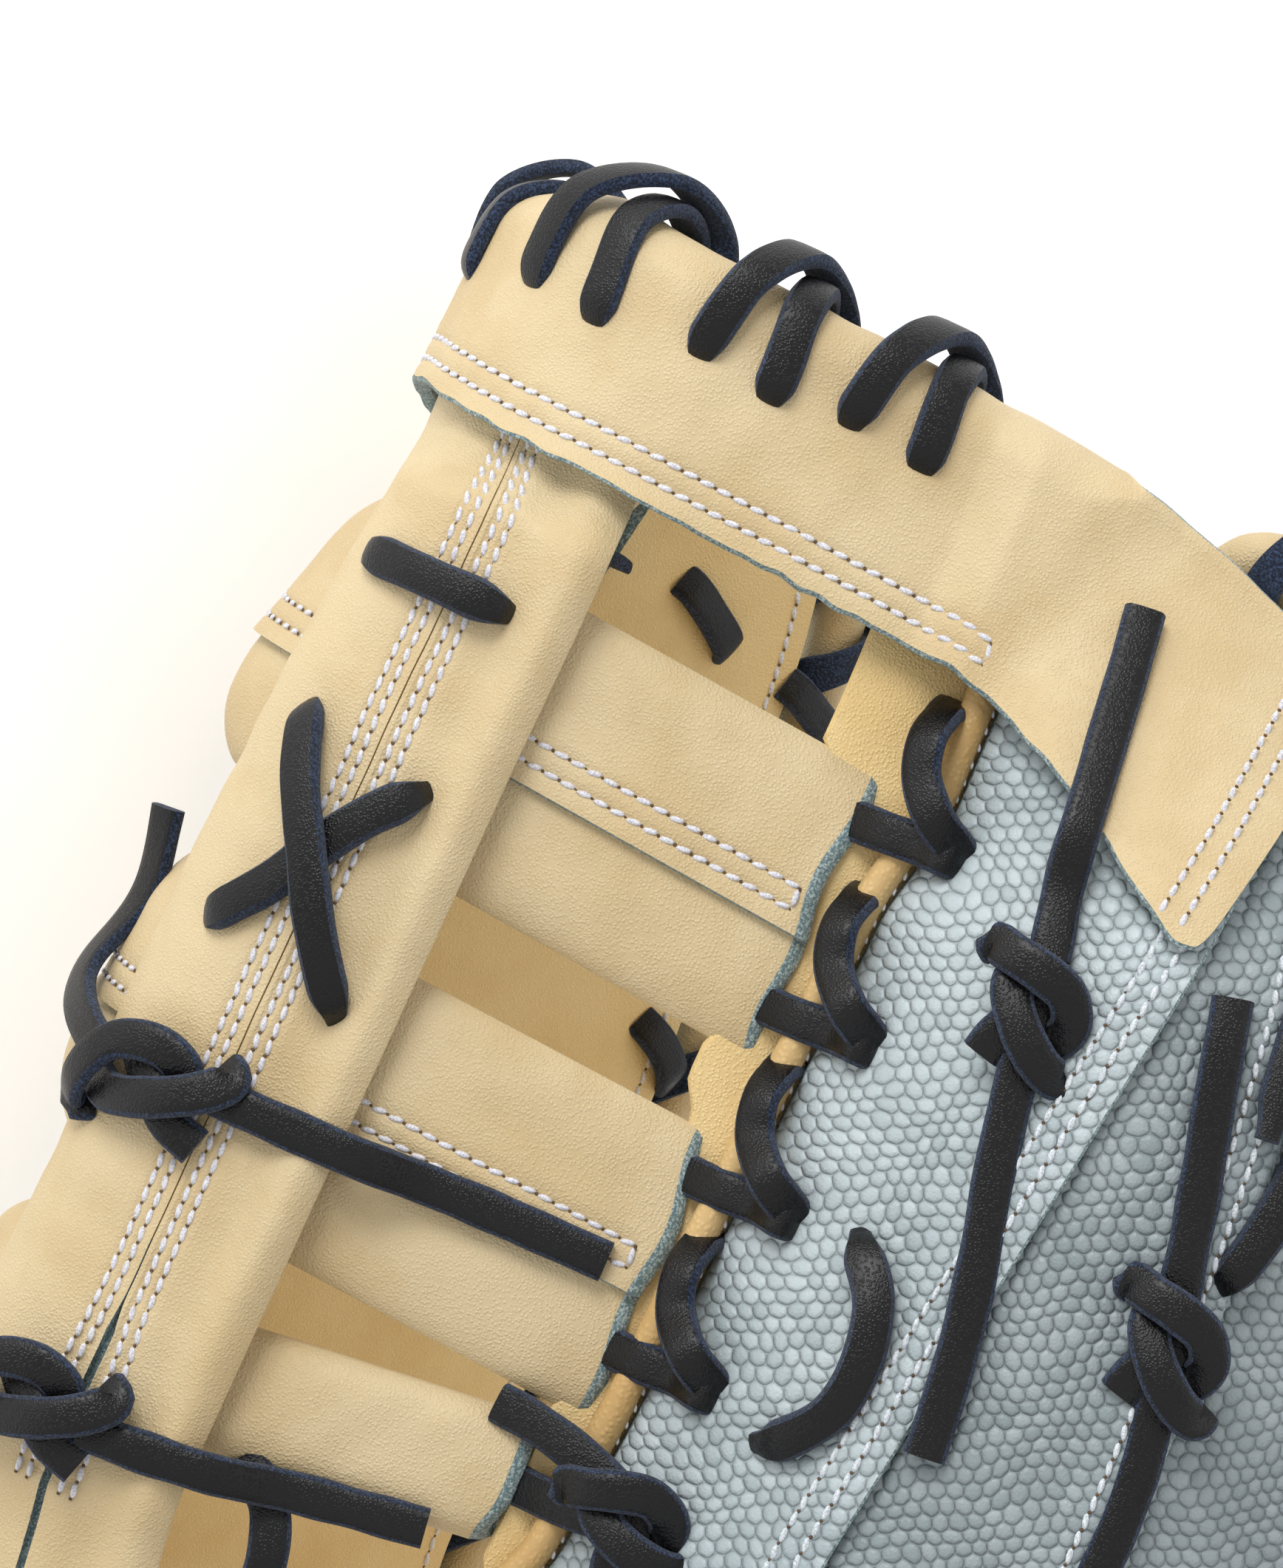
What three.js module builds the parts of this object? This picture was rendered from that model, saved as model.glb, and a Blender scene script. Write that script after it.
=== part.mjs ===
// First baseman mitt, folded and lying on its thumb side.
// Millimetres, +Z up. The fingertips point to -X, the heel to +X, the pocket opens to +Y.
// A place on the leather is (along, across, height): along from the web's folded top edge to the
// heel, across from the post's axis (+ to the fingers, - to the thumb), height out of the leather
// towards the back of the hand.
import * as THREE from 'three';

// Overall sizes
const LENGTH = 318; // web's top edge to heel
const FINGER_REACH = 149; // post axis to the finger rim, over the leather
const THUMB_REACH = 121; // post axis to the thumb rim, over the leather
const WEB_HALF = 60; // post axis to the palm's edge at the web
const OPEN_ANGLE = 45; // degrees between the thumb side and the finger side
const FOLD_RADIUS = 20; // of the leather's bend behind the post
const TIP_CURL = 8; // fingertips bend in towards the pocket
const HEEL_CURL = 12; // heel bends in towards the pocket

// Leather
const PALM_THICK = 3;
const BACK_THICK = 2.2;
const HAND_ROOM = 20; // palm to back, inside the finger stall
const THUMB_ROOM = 18; // palm to back, inside the thumb stall
const CLEAR = 0.3; // between pieces that touch

// Edges
const BINDING_RADIUS = 1.9; // rolled binding along the backs' inner edges
const RIM_RADIUS = 3.6; // padded roll round the outer edge
const RIM_LIFT = 2.2; // the roll's axis over the palm's middle

// Web
const CROWN_DEPTH = 33; // folded top band, fold to raw edge
const CROWN_THICK = 2.5;
const CROWN_HALF = 5; // fold's middle radius
const TONGUE_REACH = 98; // post axis to the tongue's end
const POST_WIDTH = 29.5;
const POST_THICK = 3.8;
const POST_END = 173; // post's lower end
const BAR_WIDTH = 35.5;
const BAR_THICK = 7;
const BAR_HALF = 52.5; // post axis to a bar's end
const BASE_BAR_WIDTH = 15.5;
const UPPER_BAR = 63.5; // middle of each bar at the post
const LOWER_BAR = 109.5;
const BASE_BAR = 146;

// Laces, strap
const LACE_WIDTH = 4.75;
const LACE_THICK = 1.6;
const RIM_LACE_PITCH = 20; // between turns round the rim
const RIM_LACE_SIDES = 5; // corners of one turn
const STRAP_WIDTH = 26;
const STRAP_THICK = 3;
const STRAP_PLACE = 252; // strap's middle along the mitt

const rad = THREE.MathUtils.degToRad;
const clamp = THREE.MathUtils.clamp;
const OPEN = rad(OPEN_ANGLE);
const SEAT = PALM_THICK / 2 + THUMB_ROOM + BACK_THICK + STRAP_THICK + CLEAR; // palm over the floor

// Steady rise from 0 at one end to 1 at the other
function ease(value, from, to) {
  const t = clamp((value - from) / (to - from), 0, 1);
  return t * t * (3 - 2 * t);
}

// Reads a column of a table by its key column, straight between rows
function lookUp(table, key, value, column) {
  let row = 0;
  while (row < table.length - 2 && value > table[row + 1][key]) row += 1;
  const [low, high] = [table[row], table[row + 1]];
  const t = clamp((value - low[key]) / (high[key] - low[key]), 0, 1);
  return low[column] + (high[column] - low[column]) * t;
}

// The bend behind the post: its radius, and how far the post's axis has turned from the finger
// side's flat, along the mitt's length
const FOLD = [
  { along: 0, radius: 1.18, lean: 44 },
  { along: 0.13, radius: 1.1, lean: 33 },
  { along: 0.2, radius: 1, lean: 23 },
  { along: 0.5, radius: 1, lean: 23 },
  { along: 0.7, radius: 1.5, lean: 50 },
  { along: 1, radius: 1.7, lean: 67 },
];

// Place and outward direction of a point on the leather's middle face
function skin(along, across) {
  const share = along / LENGTH;
  const radius = FOLD_RADIUS * lookUp(FOLD, 'along', share, 'radius');
  const lean = rad(lookUp(FOLD, 'along', share, 'lean'));
  const lead = radius * lean;
  const tangent = radius / Math.tan(OPEN / 2);
  const turned = clamp((lead - across) / radius, 0, Math.PI - OPEN);
  const angle = Math.PI / 2 + OPEN + turned;
  const out = new THREE.Vector3(0, Math.cos(angle), Math.sin(angle));
  const beyond = across - (lead - turned * radius); // flat stretch past the bend
  const point = new THREE.Vector3(along, tangent, radius + SEAT);
  point.addScaledVector(out, radius);
  point.y += beyond * out.z;
  point.z -= beyond * out.y;
  const curl = TIP_CURL * ease(share, 0.2, 0) + HEEL_CURL * ease(share, 0.72, 1);
  const spread = ease(Math.abs(across), WEB_HALF * 0.4, WEB_HALF * 1.5);
  return { point: point.addScaledVector(out, -curl * spread), out };
}

function place(along, across, height) {
  const { point, out } = skin(along, across);
  return point.addScaledVector(out, height);
}

// Directions on the leather at a point: towards the heel and towards the fingers
function directions(along, across) {
  const step = 0.5;
  const here = skin(along, across);
  const heelward = skin(along + step, across).point.sub(skin(along - step, across).point).normalize();
  const fingerward = skin(along, across + step).point.sub(skin(along, across - step).point);
  return { heelward, fingerward: fingerward.normalize(), out: here.out };
}

// Closed solids

// Rings of equal counts, joined one to the next; closed ends are capped from the ring's middle
function loft(rings) {
  const count = rings[0].length;
  const position = rings.flat().flatMap((p) => [p.x, p.y, p.z]);
  const index = [];
  for (let r = 0; r < rings.length - 1; r += 1) {
    for (let i = 0; i < count; i += 1) {
      const a = r * count + i;
      const b = r * count + ((i + 1) % count);
      index.push(a, b, b + count, a, b + count, a + count);
    }
  }
  const last = (rings.length - 1) * count;
  for (const [start, flip] of [[0, true], [last, false]]) {
    for (let i = 0; i < count / 2 - 1; i += 1) {
      // Caps run between the ring's two halves, so that bent rings stay whole
      const [p, q] = [start + i, start + i + 1];
      const [u, v] = [start + count - 1 - i, start + count - 2 - i];
      const faces = q === v ? [[p, q, u]] : [[p, q, v], [p, v, u]];
      for (const [x, y, z] of faces) index.push(...(flip ? [x, z, y] : [x, y, z]));
    }
  }
  const geometry = new THREE.BufferGeometry();
  geometry.setAttribute('position', new THREE.Float32BufferAttribute(position, 3));
  geometry.setIndex(index);
  return facingOut(geometry);
}

// Turns a closed mesh right side out
function facingOut(geometry) {
  const p = geometry.attributes.position;
  const index = geometry.index.array;
  const [a, b, c] = [new THREE.Vector3(), new THREE.Vector3(), new THREE.Vector3()];
  let volume = 0;
  for (let i = 0; i < index.length; i += 3) {
    a.fromBufferAttribute(p, index[i]);
    b.fromBufferAttribute(p, index[i + 1]);
    c.fromBufferAttribute(p, index[i + 2]);
    volume += a.dot(b.cross(c));
  }
  if (volume < 0) {
    for (let i = 0; i < index.length; i += 3) {
      [index[i], index[i + 1]] = [index[i + 1], index[i]];
    }
  }
  geometry.computeVertexNormals();
  return geometry;
}

// A wall of leather: at(u, v) gives its outer and inner point, u and v from 0 to 1
function wall(stepsU, stepsV, at) {
  const rings = [];
  for (let i = 0; i <= stepsU; i += 1) {
    const row = [];
    for (let j = 0; j <= stepsV; j += 1) row.push(at(i / stepsU, j / stepsV));
    rings.push([...row.map((p) => p.outer), ...row.map((p) => p.inner).reverse()]);
  }
  return loft(rings);
}

// A lace's section, as shares of its half width and half thickness
const ROUNDED = [
  [-1, -0.6], [-0.8, -1], [0.8, -1], [1, -0.6], [1, 0.6], [0.8, 1], [-0.8, 1], [-1, 0.6],
];
const FLAT = [[-1, -1], [1, -1], [1, 1], [-1, 1]];

// A flat lace along a list of stations, each with its point and its width's direction
function ribbon(stations, section = ROUNDED, width = LACE_WIDTH, thick = LACE_THICK) {
  return loft(stations.map(({ point, side }, i) => {
    const before = stations[Math.max(i - 1, 0)].point;
    const after = stations[Math.min(i + 1, stations.length - 1)].point;
    const forward = after.clone().sub(before).normalize();
    const wide = side.clone().addScaledVector(forward, -side.dot(forward)).normalize();
    const deep = new THREE.Vector3().crossVectors(forward, wide);
    return section.map(([x, y]) =>
      point.clone().addScaledVector(wide, (x * width) / 2).addScaledVector(deep, (y * thick) / 2));
  }));
}

// Backs of the hand: panels between the web's side and the rim

// Inner edge of either back, as shares of the length and of the web's half width
const BACK_EDGE = [
  { along: 0.03, across: 1.035 },
  { along: 0.16, across: 1.045 },
  { along: 0.2, across: 1.005 },
  { along: 0.28, across: 0.99 },
  { along: 0.4, across: 0.975 },
  { along: 0.46, across: 0.95 },
  { along: 0.5, across: 0.87 },
  { along: 0.54, across: 0.68 },
  { along: 0.57, across: 0.36 },
  { along: 0.582, across: 0.12 },
  { along: 0.6, across: 0.16 },
  { along: 0.66, across: 0.36 },
  { along: 0.75, across: 0.6 },
  { along: 0.85, across: 0.76 },
  { along: 0.93, across: 0.77 },
];

// Outer outline of the leather and the palm's inner edge, thumb tip to heel to finger tip.
// Along is a share of the length; rim across a share of that side's reach, web across of WEB_HALF.
const OUTLINE = [
  { rimAlong: 0.03, rim: -0.62, webAlong: 0.049, web: -1.01 },
  { rimAlong: 0.055, rim: -0.74, webAlong: 0.09, web: -1.01 },
  { rimAlong: 0.13, rim: -0.87, webAlong: 0.15, web: -1.01 },
  { rimAlong: 0.24, rim: -0.965, webAlong: 0.23, web: -1 },
  { rimAlong: 0.37, rim: -1, webAlong: 0.32, web: -1 },
  { rimAlong: 0.5, rim: -0.99, webAlong: 0.4, web: -0.98 },
  { rimAlong: 0.63, rim: -0.94, webAlong: 0.46, web: -0.93 },
  { rimAlong: 0.76, rim: -0.83, webAlong: 0.5, web: -0.76 },
  { rimAlong: 0.87, rim: -0.66, webAlong: 0.525, web: -0.48 },
  { rimAlong: 0.95, rim: -0.44, webAlong: 0.533, web: -0.2 },
  { rimAlong: 0.98, rim: -0.14, webAlong: 0.534, web: -0.03 },
  { rimAlong: 0.98, rim: 0.16, webAlong: 0.533, web: 0.14 },
  { rimAlong: 0.965, rim: 0.4, webAlong: 0.53, web: 0.34 },
  { rimAlong: 0.92, rim: 0.62, webAlong: 0.52, web: 0.56 },
  { rimAlong: 0.84, rim: 0.8, webAlong: 0.5, web: 0.76 },
  { rimAlong: 0.73, rim: 0.92, webAlong: 0.46, web: 0.93 },
  { rimAlong: 0.6, rim: 0.985, webAlong: 0.4, web: 0.98 },
  { rimAlong: 0.46, rim: 1, webAlong: 0.32, web: 1 },
  { rimAlong: 0.32, rim: 0.97, webAlong: 0.23, web: 1 },
  { rimAlong: 0.19, rim: 0.89, webAlong: 0.15, web: 1.01 },
  { rimAlong: 0.085, rim: 0.76, webAlong: 0.09, web: 1.01 },
  { rimAlong: 0.035, rim: 0.6, webAlong: 0.049, web: 1.01 },
];

const reach = (share) => share * (share < 0 ? THUMB_REACH : FINGER_REACH);
const flatCurve = (points) => new THREE.CatmullRomCurve3(points, false, 'centripetal');
const rimCurve = flatCurve(
  OUTLINE.map((row) => new THREE.Vector3(row.rimAlong * LENGTH, reach(row.rim), 0)));
const webCurve = flatCurve(
  OUTLINE.map((row) => new THREE.Vector3(row.webAlong * LENGTH, row.web * WEB_HALF, 0)));

// Corner of a turn of the rim's lace, and the leather's edge, both measured from the roll's axis
const RIM_CORNER = (RIM_RADIUS + 1.5 * CLEAR + LACE_THICK / 2) / Math.cos(Math.PI / RIM_LACE_SIDES);
const RIM_INSET = RIM_CORNER + LACE_THICK / 2 + 2 * CLEAR;

// The outline moved in by an inset, at a share t of its rows
function rimPoint(t, inset) {
  const spot = rimCurve.getPoint(t);
  const heading = rimCurve.getTangent(t);
  return [spot.x - heading.y * inset, spot.y + heading.x * inset];
}

// Outer outline as a function of the place along, one for each side
const RIM_STEPS = 200;
function rimTable(sign) {
  const rows = [];
  for (let i = 0; i <= RIM_STEPS; i += 1) {
    const [along, across] = rimPoint(i / RIM_STEPS, RIM_INSET);
    if (Math.sign(across) === sign && along < LENGTH * 0.945) rows.push({ along, across });
  }
  return rows.sort((p, q) => p.along - q.along);
}

const SIDES = {
  finger: {
    sign: 1, room: HAND_ROOM, fill: 0.75, open: 0.9, ceiling: Infinity, strap: 0, fullBy: 0.2,
    rim: rimTable(1),
  },
  thumb: {
    sign: -1, room: THUMB_ROOM * 1.7, fill: 0.55, open: 0.66, ceiling: SEAT,
    strap: STRAP_THICK + 4 * CLEAR, fullBy: 0.32, rim: rimTable(-1),
  },
};

// Places along a back where its wall has a ring, closer where its edge turns
const BACK_STATIONS = [
  0.05, 0.085, 0.125, 0.17, 0.22, 0.28, 0.34, 0.4, 0.44, 0.475, 0.505, 0.53, 0.55, 0.567, 0.582,
  0.6, 0.625, 0.66, 0.71, 0.77, 0.84, 0.925,
];
const FLANGE = PALM_THICK / 2 + CLEAR + BACK_THICK; // a back's outer face where it lies on the palm

// Outer face of a back: w runs from its inner edge (0) to the rim (1)
function backSpot(side, along, w) {
  const share = along / LENGTH;
  const edge = lookUp(BACK_EDGE, 'along', share, 'across') * WEB_HALF * side.sign;
  const rim = lookUp(side.rim, 'along', along, 'across');
  const full = ease(share, BACK_STATIONS[0] - 0.02, side.fullBy);
  const lift = ease(share, 0.57, 0.7);
  const crotch = ease(share, 0.44, 0.52) * ease(share, 0.7, 0.6);
  const closed = Math.sin(Math.PI * w) ** (side.fill + 0.4 * crotch);
  const open = Math.cos((Math.PI / 2) * w) ** 0.6;
  const loose = 7 * CLEAR * ease(share, 0.44, 0.5);
  const height = FLANGE + loose + side.room * full * (closed * (1 - lift) + side.open * open * lift);
  const ceiling = side.ceiling - side.strap * lift * ease(w, 0.75, 0.55);
  return { along, across: edge + (rim - edge) * w, height: Math.min(height, ceiling) };
}

function backPanel(side, from, to, stepsAcross) {
  const rings = BACK_STATIONS.map((share) => {
    const along = share * LENGTH;
    const edge = Math.abs(backSpot(side, along, 0).across);
    const rim = Math.abs(backSpot(side, along, 1).across);
    const half = CLEAR / 2 / (rim - edge);
    const start = from(along, edge, rim) + half;
    const end = to(along, edge, rim) - half;
    const spots = Array.from({ length: stepsAcross + 1 },
      (_, j) => backSpot(side, along, start + (end - start) * (j / stepsAcross)));
    return [
      ...spots.map((p) => place(along, p.across, p.height)),
      ...spots.map((p) => place(along, p.across, p.height - BACK_THICK)).reverse(),
    ];
  });
  return loft(rings);
}

// Seams between panels, as shares from the inner edge to the rim
const SEAM_SLOPE = 0.128;
const SEAM_START = 0.67; // share of the finger reach at the web's top edge
const innerEdge = () => 0;
const outerEdge = () => 1;
const indexSeam = (along, edge, rim) =>
  clamp((SEAM_START * FINGER_REACH - SEAM_SLOPE * along - edge) / (rim - edge), 0.3, 0.6);
const middleSeam = (along, edge, rim) => (1 + indexSeam(along, edge, rim)) / 2;
const thumbSeam = () => 0.5;

// Palm: one wall between the outline and the web's opening, dished at the pocket
function palm() {
  return wall(54, 5, (u, v) => {
    const [rimAlong, rimAcross] = rimPoint(u, RIM_INSET);
    const web = webCurve.getPoint(u);
    const along = web.x + (rimAlong - web.x) * v;
    const across = web.y + (rimAcross - web.y) * v;
    const half = PALM_THICK / 2;
    return { outer: place(along, across, half), inner: place(along, across, -half) };
  });
}

// Round ring of a roll about a middle point
function roundRing(middle, wide, deep, radius, sides) {
  return Array.from({ length: sides }, (_, k) => {
    const angle = (k / sides) * Math.PI * 2;
    return middle.clone().addScaledVector(wide, Math.cos(angle) * radius)
      .addScaledVector(deep, Math.sin(angle) * radius);
  });
}

// Rolled binding along a back's inner edge
const BINDING_TOP = PALM_THICK / 2 + CLEAR + 2 * BINDING_RADIUS;
function binding(side) {
  const away = (BINDING_RADIUS + 2 * CLEAR) * side.sign;
  return loft(BACK_STATIONS.map((share) => {
    const along = share * LENGTH;
    const spot = backSpot(side, along, 0);
    const slope = (backSpot(side, along + 1, 0).across - backSpot(side, along - 1, 0).across) / 2;
    const bend = Math.hypot(1, slope);
    const { heelward, fingerward, out } = directions(along, spot.across);
    const wide = fingerward.addScaledVector(heelward, -slope).normalize();
    const height = Math.max(spot.height + CLEAR, BINDING_TOP) - BINDING_RADIUS;
    const middle = place(along + (away * slope) / bend, spot.across - away / bend, height);
    return roundRing(middle, wide, out, BINDING_RADIUS, 6);
  }));
}

// Frame of the rim's roll at a share of the outline
function rimFrame(t) {
  const [along, across] = rimPoint(t, 0);
  const ahead = rimPoint(Math.min(t + 0.002, 1), 0);
  const back = rimPoint(Math.max(t - 0.002, 0), 0);
  const run = place(...ahead, RIM_LIFT).sub(place(...back, RIM_LIFT)).normalize();
  const { out } = skin(along, across);
  const away = new THREE.Vector3().crossVectors(out, run).normalize();
  return { centre: place(along, across, RIM_LIFT), run, out, away };
}

const RIM_STRETCHES = { thumb: [0.035, 0.42], heel: [0.42, 0.6], finger: [0.6, 0.965] };

function rimRoll([from, to]) {
  const steps = Math.round((to - from) * 64);
  const half = 0.0004;
  return loft(Array.from({ length: steps + 1 }, (_, i) => {
    const { centre, out, away } = rimFrame(from + half + (to - from - 2 * half) * (i / steps));
    return roundRing(centre, away, out, RIM_RADIUS, 8);
  }));
}

// One lace wound round a stretch of the rim
function rimLace([from, to]) {
  const samples = 60;
  let run = 0;
  for (let i = 0; i < samples; i += 1) {
    const t = from + ((to - from) * i) / samples;
    run += rimFrame(t).centre.distanceTo(rimFrame(t + (to - from) / samples).centre);
  }
  const turns = Math.round(run / RIM_LACE_PITCH);
  const steps = turns * RIM_LACE_SIDES;
  const margin = (to - from) / turns / 2;
  const stations = Array.from({ length: steps + 1 }, (_, i) => {
    const t = from + margin + (to - from - 2 * margin) * (i / steps);
    const { centre, run: side, out, away } = rimFrame(t);
    const angle = (i / RIM_LACE_SIDES) * Math.PI * 2;
    centre.addScaledVector(away, Math.cos(angle) * RIM_CORNER);
    centre.addScaledVector(out, Math.sin(angle) * RIM_CORNER);
    return { point: centre, side };
  });
  return ribbon(stations, FLAT);
}

// Outer face of whatever lies under a lace, a tongue or the strap
const BAR_TOP = BAR_THICK / 2;
const POST_RISE = 2 * CLEAR + POST_THICK; // post's outer face over the bars'
const POST_RISES = UPPER_BAR - BAR_WIDTH * 0.6; // where the post has climbed onto the upper bar
function over(along, across) {
  const side = across < 0 ? SIDES.thumb : SIDES.finger;
  const far = Math.abs(across);
  const edge = Math.abs(backSpot(side, along, 0).across);
  const rim = Math.abs(backSpot(side, along, 1).across);
  const post = POST_RISE * ease(far, POST_WIDTH / 2 + 6, POST_WIDTH / 2 + 3)
    * ease(along, CROWN_DEPTH * 1.05, POST_RISES - 1);
  const w = clamp((far - edge) / (rim - edge), 0, 1);
  const back = far < edge ? 0 : backSpot(side, along, w).height;
  const bound = (BINDING_TOP + CLEAR) * ease(far, edge - 9, edge - 5) * ease(far, edge + 9, edge + 5);
  return Math.max(BAR_TOP + post, back, bound);
}

// Outer face with the crown and its tongues on top of it
function overCrown(along, across) {
  const share = Math.abs(across) / tongueReach(across);
  const low = CROWN_DEPTH * lookUp(CROWN, 'across', share, 'low');
  const covered = ease(along, low + 6, low + 2) * ease(share, 1.08, 1.03);
  return over(along, across) + (6 * CLEAR + CROWN_THICK) * covered;
}
const tongueReach = (across) => TONGUE_REACH * (across < 0 ? THUMB_REACH / FINGER_REACH : 1);

// Web

// Half thickness of a pressed roll across its width, v from 0 to 1
const pillow = (v) => Math.sqrt(1 - (2 * v - 1) ** 4 * 0.9) / 2;

// Crown's fold and raw edge, as shares of the tongue's reach and of the crown's depth
const CROWN = [
  { across: 0, top: 0.06, low: 0.985 },
  { across: 0.08, top: 0.1, low: 0.99 },
  { across: 0.36, top: 0.15, low: 1.04 },
  { across: 0.56, top: 0.17, low: 1.08 },
  { across: 0.62, top: 0.19, low: 1.12 },
  { across: 0.72, top: 0.24, low: 1.26 },
  { across: 0.83, top: 0.33, low: 1.47 },
  { across: 0.91, top: 0.42, low: 1.62 },
  { across: 0.94, top: 0.48, low: 1.6 },
  { across: 1, top: 0.62, low: 0.85 },
];
const CROWN_STATIONS = [
  -1, -0.93, -0.84, -0.75, -0.68, -0.61, -0.54, -0.47, -0.4, -0.33, -0.26, -0.19, -0.12, -0.04, 0.04,
  0.12, 0.2, 0.34, 0.48, 0.56, 0.62, 0.7, 0.8, 0.9, 0.95, 1,
];

function crown() {
  const near = 3;
  const bend = 4;
  const far = 1;
  const half = CROWN_THICK / 2;
  return loft(CROWN_STATIONS.map((share) => {
    const across = share * tongueReach(share);
    const top = CROWN_DEPTH * lookUp(CROWN, 'across', Math.abs(share), 'top');
    const low = CROWN_DEPTH * lookUp(CROWN, 'across', Math.abs(share), 'low');
    const folded = ease(Math.abs(across), WEB_HALF * 1.15, WEB_HALF);
    const legged = ease(Math.abs(across), WEB_HALF * 0.98, WEB_HALF * 0.88);
    const radius = 1 + (CROWN_HALF - 1) * folded;
    const sweep = Math.PI * (0.35 + 0.65 * folded);
    const start = top + radius + half;
    const path = [];
    for (let i = 0; i < near; i += 1) {
      const along = low + (start - low) * (i / near);
      const under = Math.max(...[-3, 0, 3].map((d) => over(along, across + d)), over(along + 4, across));
      path.push([along, under + 2 * CLEAR + half, 0]);
    }
    const height = path[near - 1][1];
    for (let i = 0; i <= bend; i += 1) {
      const angle = (sweep * i) / bend;
      const drop = (height - radius) * (1 - folded * (i / bend));
      path.push([start - Math.sin(angle) * radius, drop + Math.cos(angle) * radius, angle]);
    }
    const [endAlong, endHeight] = path[path.length - 1];
    const leg = (low - start - 4) * legged + 1;
    for (let i = 1; i <= far; i += 1) {
      const run = leg * (i / far);
      path.push([endAlong - Math.cos(sweep) * run, endHeight - Math.sin(sweep) * run, sweep]);
    }
    const faces = [half, -half].map((offset) => path.map(([along, h, angle]) =>
      place(along - Math.sin(angle) * offset, across, h + Math.cos(angle) * offset)));
    return [...faces[0], ...faces[1].reverse()];
  }));
}

// Bars slope along the mitt as they cross it
const BARS = {
  web_bar_upper: { middle: UPPER_BAR, width: BAR_WIDTH, half: BAR_HALF, slope: 0.08 },
  web_bar_lower: { middle: LOWER_BAR, width: BAR_WIDTH, half: BAR_HALF, slope: 0.06 },
  web_base_bar: { middle: BASE_BAR, width: BASE_BAR_WIDTH, half: BAR_HALF * 0.92, slope: -0.12 },
};
function bar({ middle, width, half: end, slope }) {
  return wall(15, 5, (u, v) => {
    const across = end * (2 * u - 1);
    const along = middle + slope * (slope < 0 ? Math.abs(across) : across) + width * (v - 0.5);
    const half = BAR_THICK * pillow(v);
    return { outer: place(along, across, half), inner: place(along, across, -half) };
  });
}

// Post: over the bars, with its upper end inside the crown and its lower end on the palm
const POST_STATIONS = [0.055, 0.085, 0.11, 0.13, 0.17, 0.25, 0.34, 0.43, 0.485, 0.515, 0.545];
function post() {
  const onBars = BAR_TOP + POST_RISE - POST_THICK / 2;
  const inCrown = POST_THICK / 2 - CLEAR;
  const onPalm = PALM_THICK / 2 + CLEAR + POST_THICK / 2;
  const crossings = 8;
  return loft(POST_STATIONS.map((share) => {
    const along = Math.min(share * LENGTH, POST_END);
    const raised = inCrown + (onBars - inCrown) * ease(along, CROWN_DEPTH, POST_RISES);
    const middle = raised + (onPalm - onBars) * ease(along, BASE_BAR + BASE_BAR_WIDTH / 2, POST_END - 4);
    const faces = [1, -1].map((face) => Array.from({ length: crossings + 1 }, (_, j) => {
      const v = j / crossings;
      return place(along, POST_WIDTH * (v - 0.5), middle + face * POST_THICK * pillow(v));
    }));
    return [...faces[0], ...faces[1].reverse()];
  }));
}

// Laces

const flatCurvePoints = (points, steps) => flatCurve(points).getPoints(steps);

// Stations of a lace that lies on what is under it, from its chosen points
function lying(route, steps, lift = 0) {
  const spots = flatCurvePoints(
    route.map((p) => new THREE.Vector3(p.along * LENGTH, p.across * WEB_HALF, 0)), steps);
  const points = spots.map((p) => {
    const under = Math.max(...[-2, 0, 2].map((d) => overCrown(p.x, p.y + d)));
    return place(p.x, p.y, under + 2 * CLEAR + LACE_THICK / 2 + lift);
  });
  return points.map((point, i) => {
    const before = points[Math.max(i - 1, 0)];
    const after = points[Math.min(i + 1, steps)];
    const { out } = skin(spots[i].x, spots[i].y);
    return { point, side: after.clone().sub(before).cross(out).normalize() };
  });
}

// Pairs over the crown's folded edge: middle and half spread, as shares of WEB_HALF
const CROWN_PAIRS = [
  { middle: -0.66, spread: 0.075 },
  { middle: -0.33, spread: 0.075 },
  { middle: 0.03, spread: 0.065 },
  { middle: 0.34, spread: 0.075 },
  { middle: 0.65, spread: 0.077 },
];
function crownPair({ middle, spread }) {
  const centre = middle * WEB_HALF;
  const share = Math.abs(centre) / TONGUE_REACH;
  const start = CROWN_DEPTH * lookUp(CROWN, 'across', share, 'top') + CROWN_HALF + CROWN_THICK / 2;
  const radius = CROWN_HALF + CROWN_THICK / 2 + 2.5 * CLEAR + LACE_THICK / 2;
  const apart = LACE_WIDTH / 2 + CLEAR;
  const leg = [];
  for (const angle of [0, 45, 90, 135, 180]) {
    const turn = rad(angle);
    leg.push([start - Math.sin(turn) * radius * 1.08, Math.cos(turn) * radius * 1.08]);
  }
  const hole = start + CROWN_DEPTH * 0.3;
  const up = [[hole, radius, spread * WEB_HALF], ...leg.map(([a, h]) => [a, h, apart])];
  const down = up.map(([a, h, s]) => [a, h, -s]).reverse();
  const path = [...up, [hole * 0.9, -radius, apart], [hole * 0.9, -radius, -apart], ...down];
  return path.map(([along, height, s]) => ({
    point: place(along, centre + s, height),
    side: directions(along, centre).fingerward,
  }));
}

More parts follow.
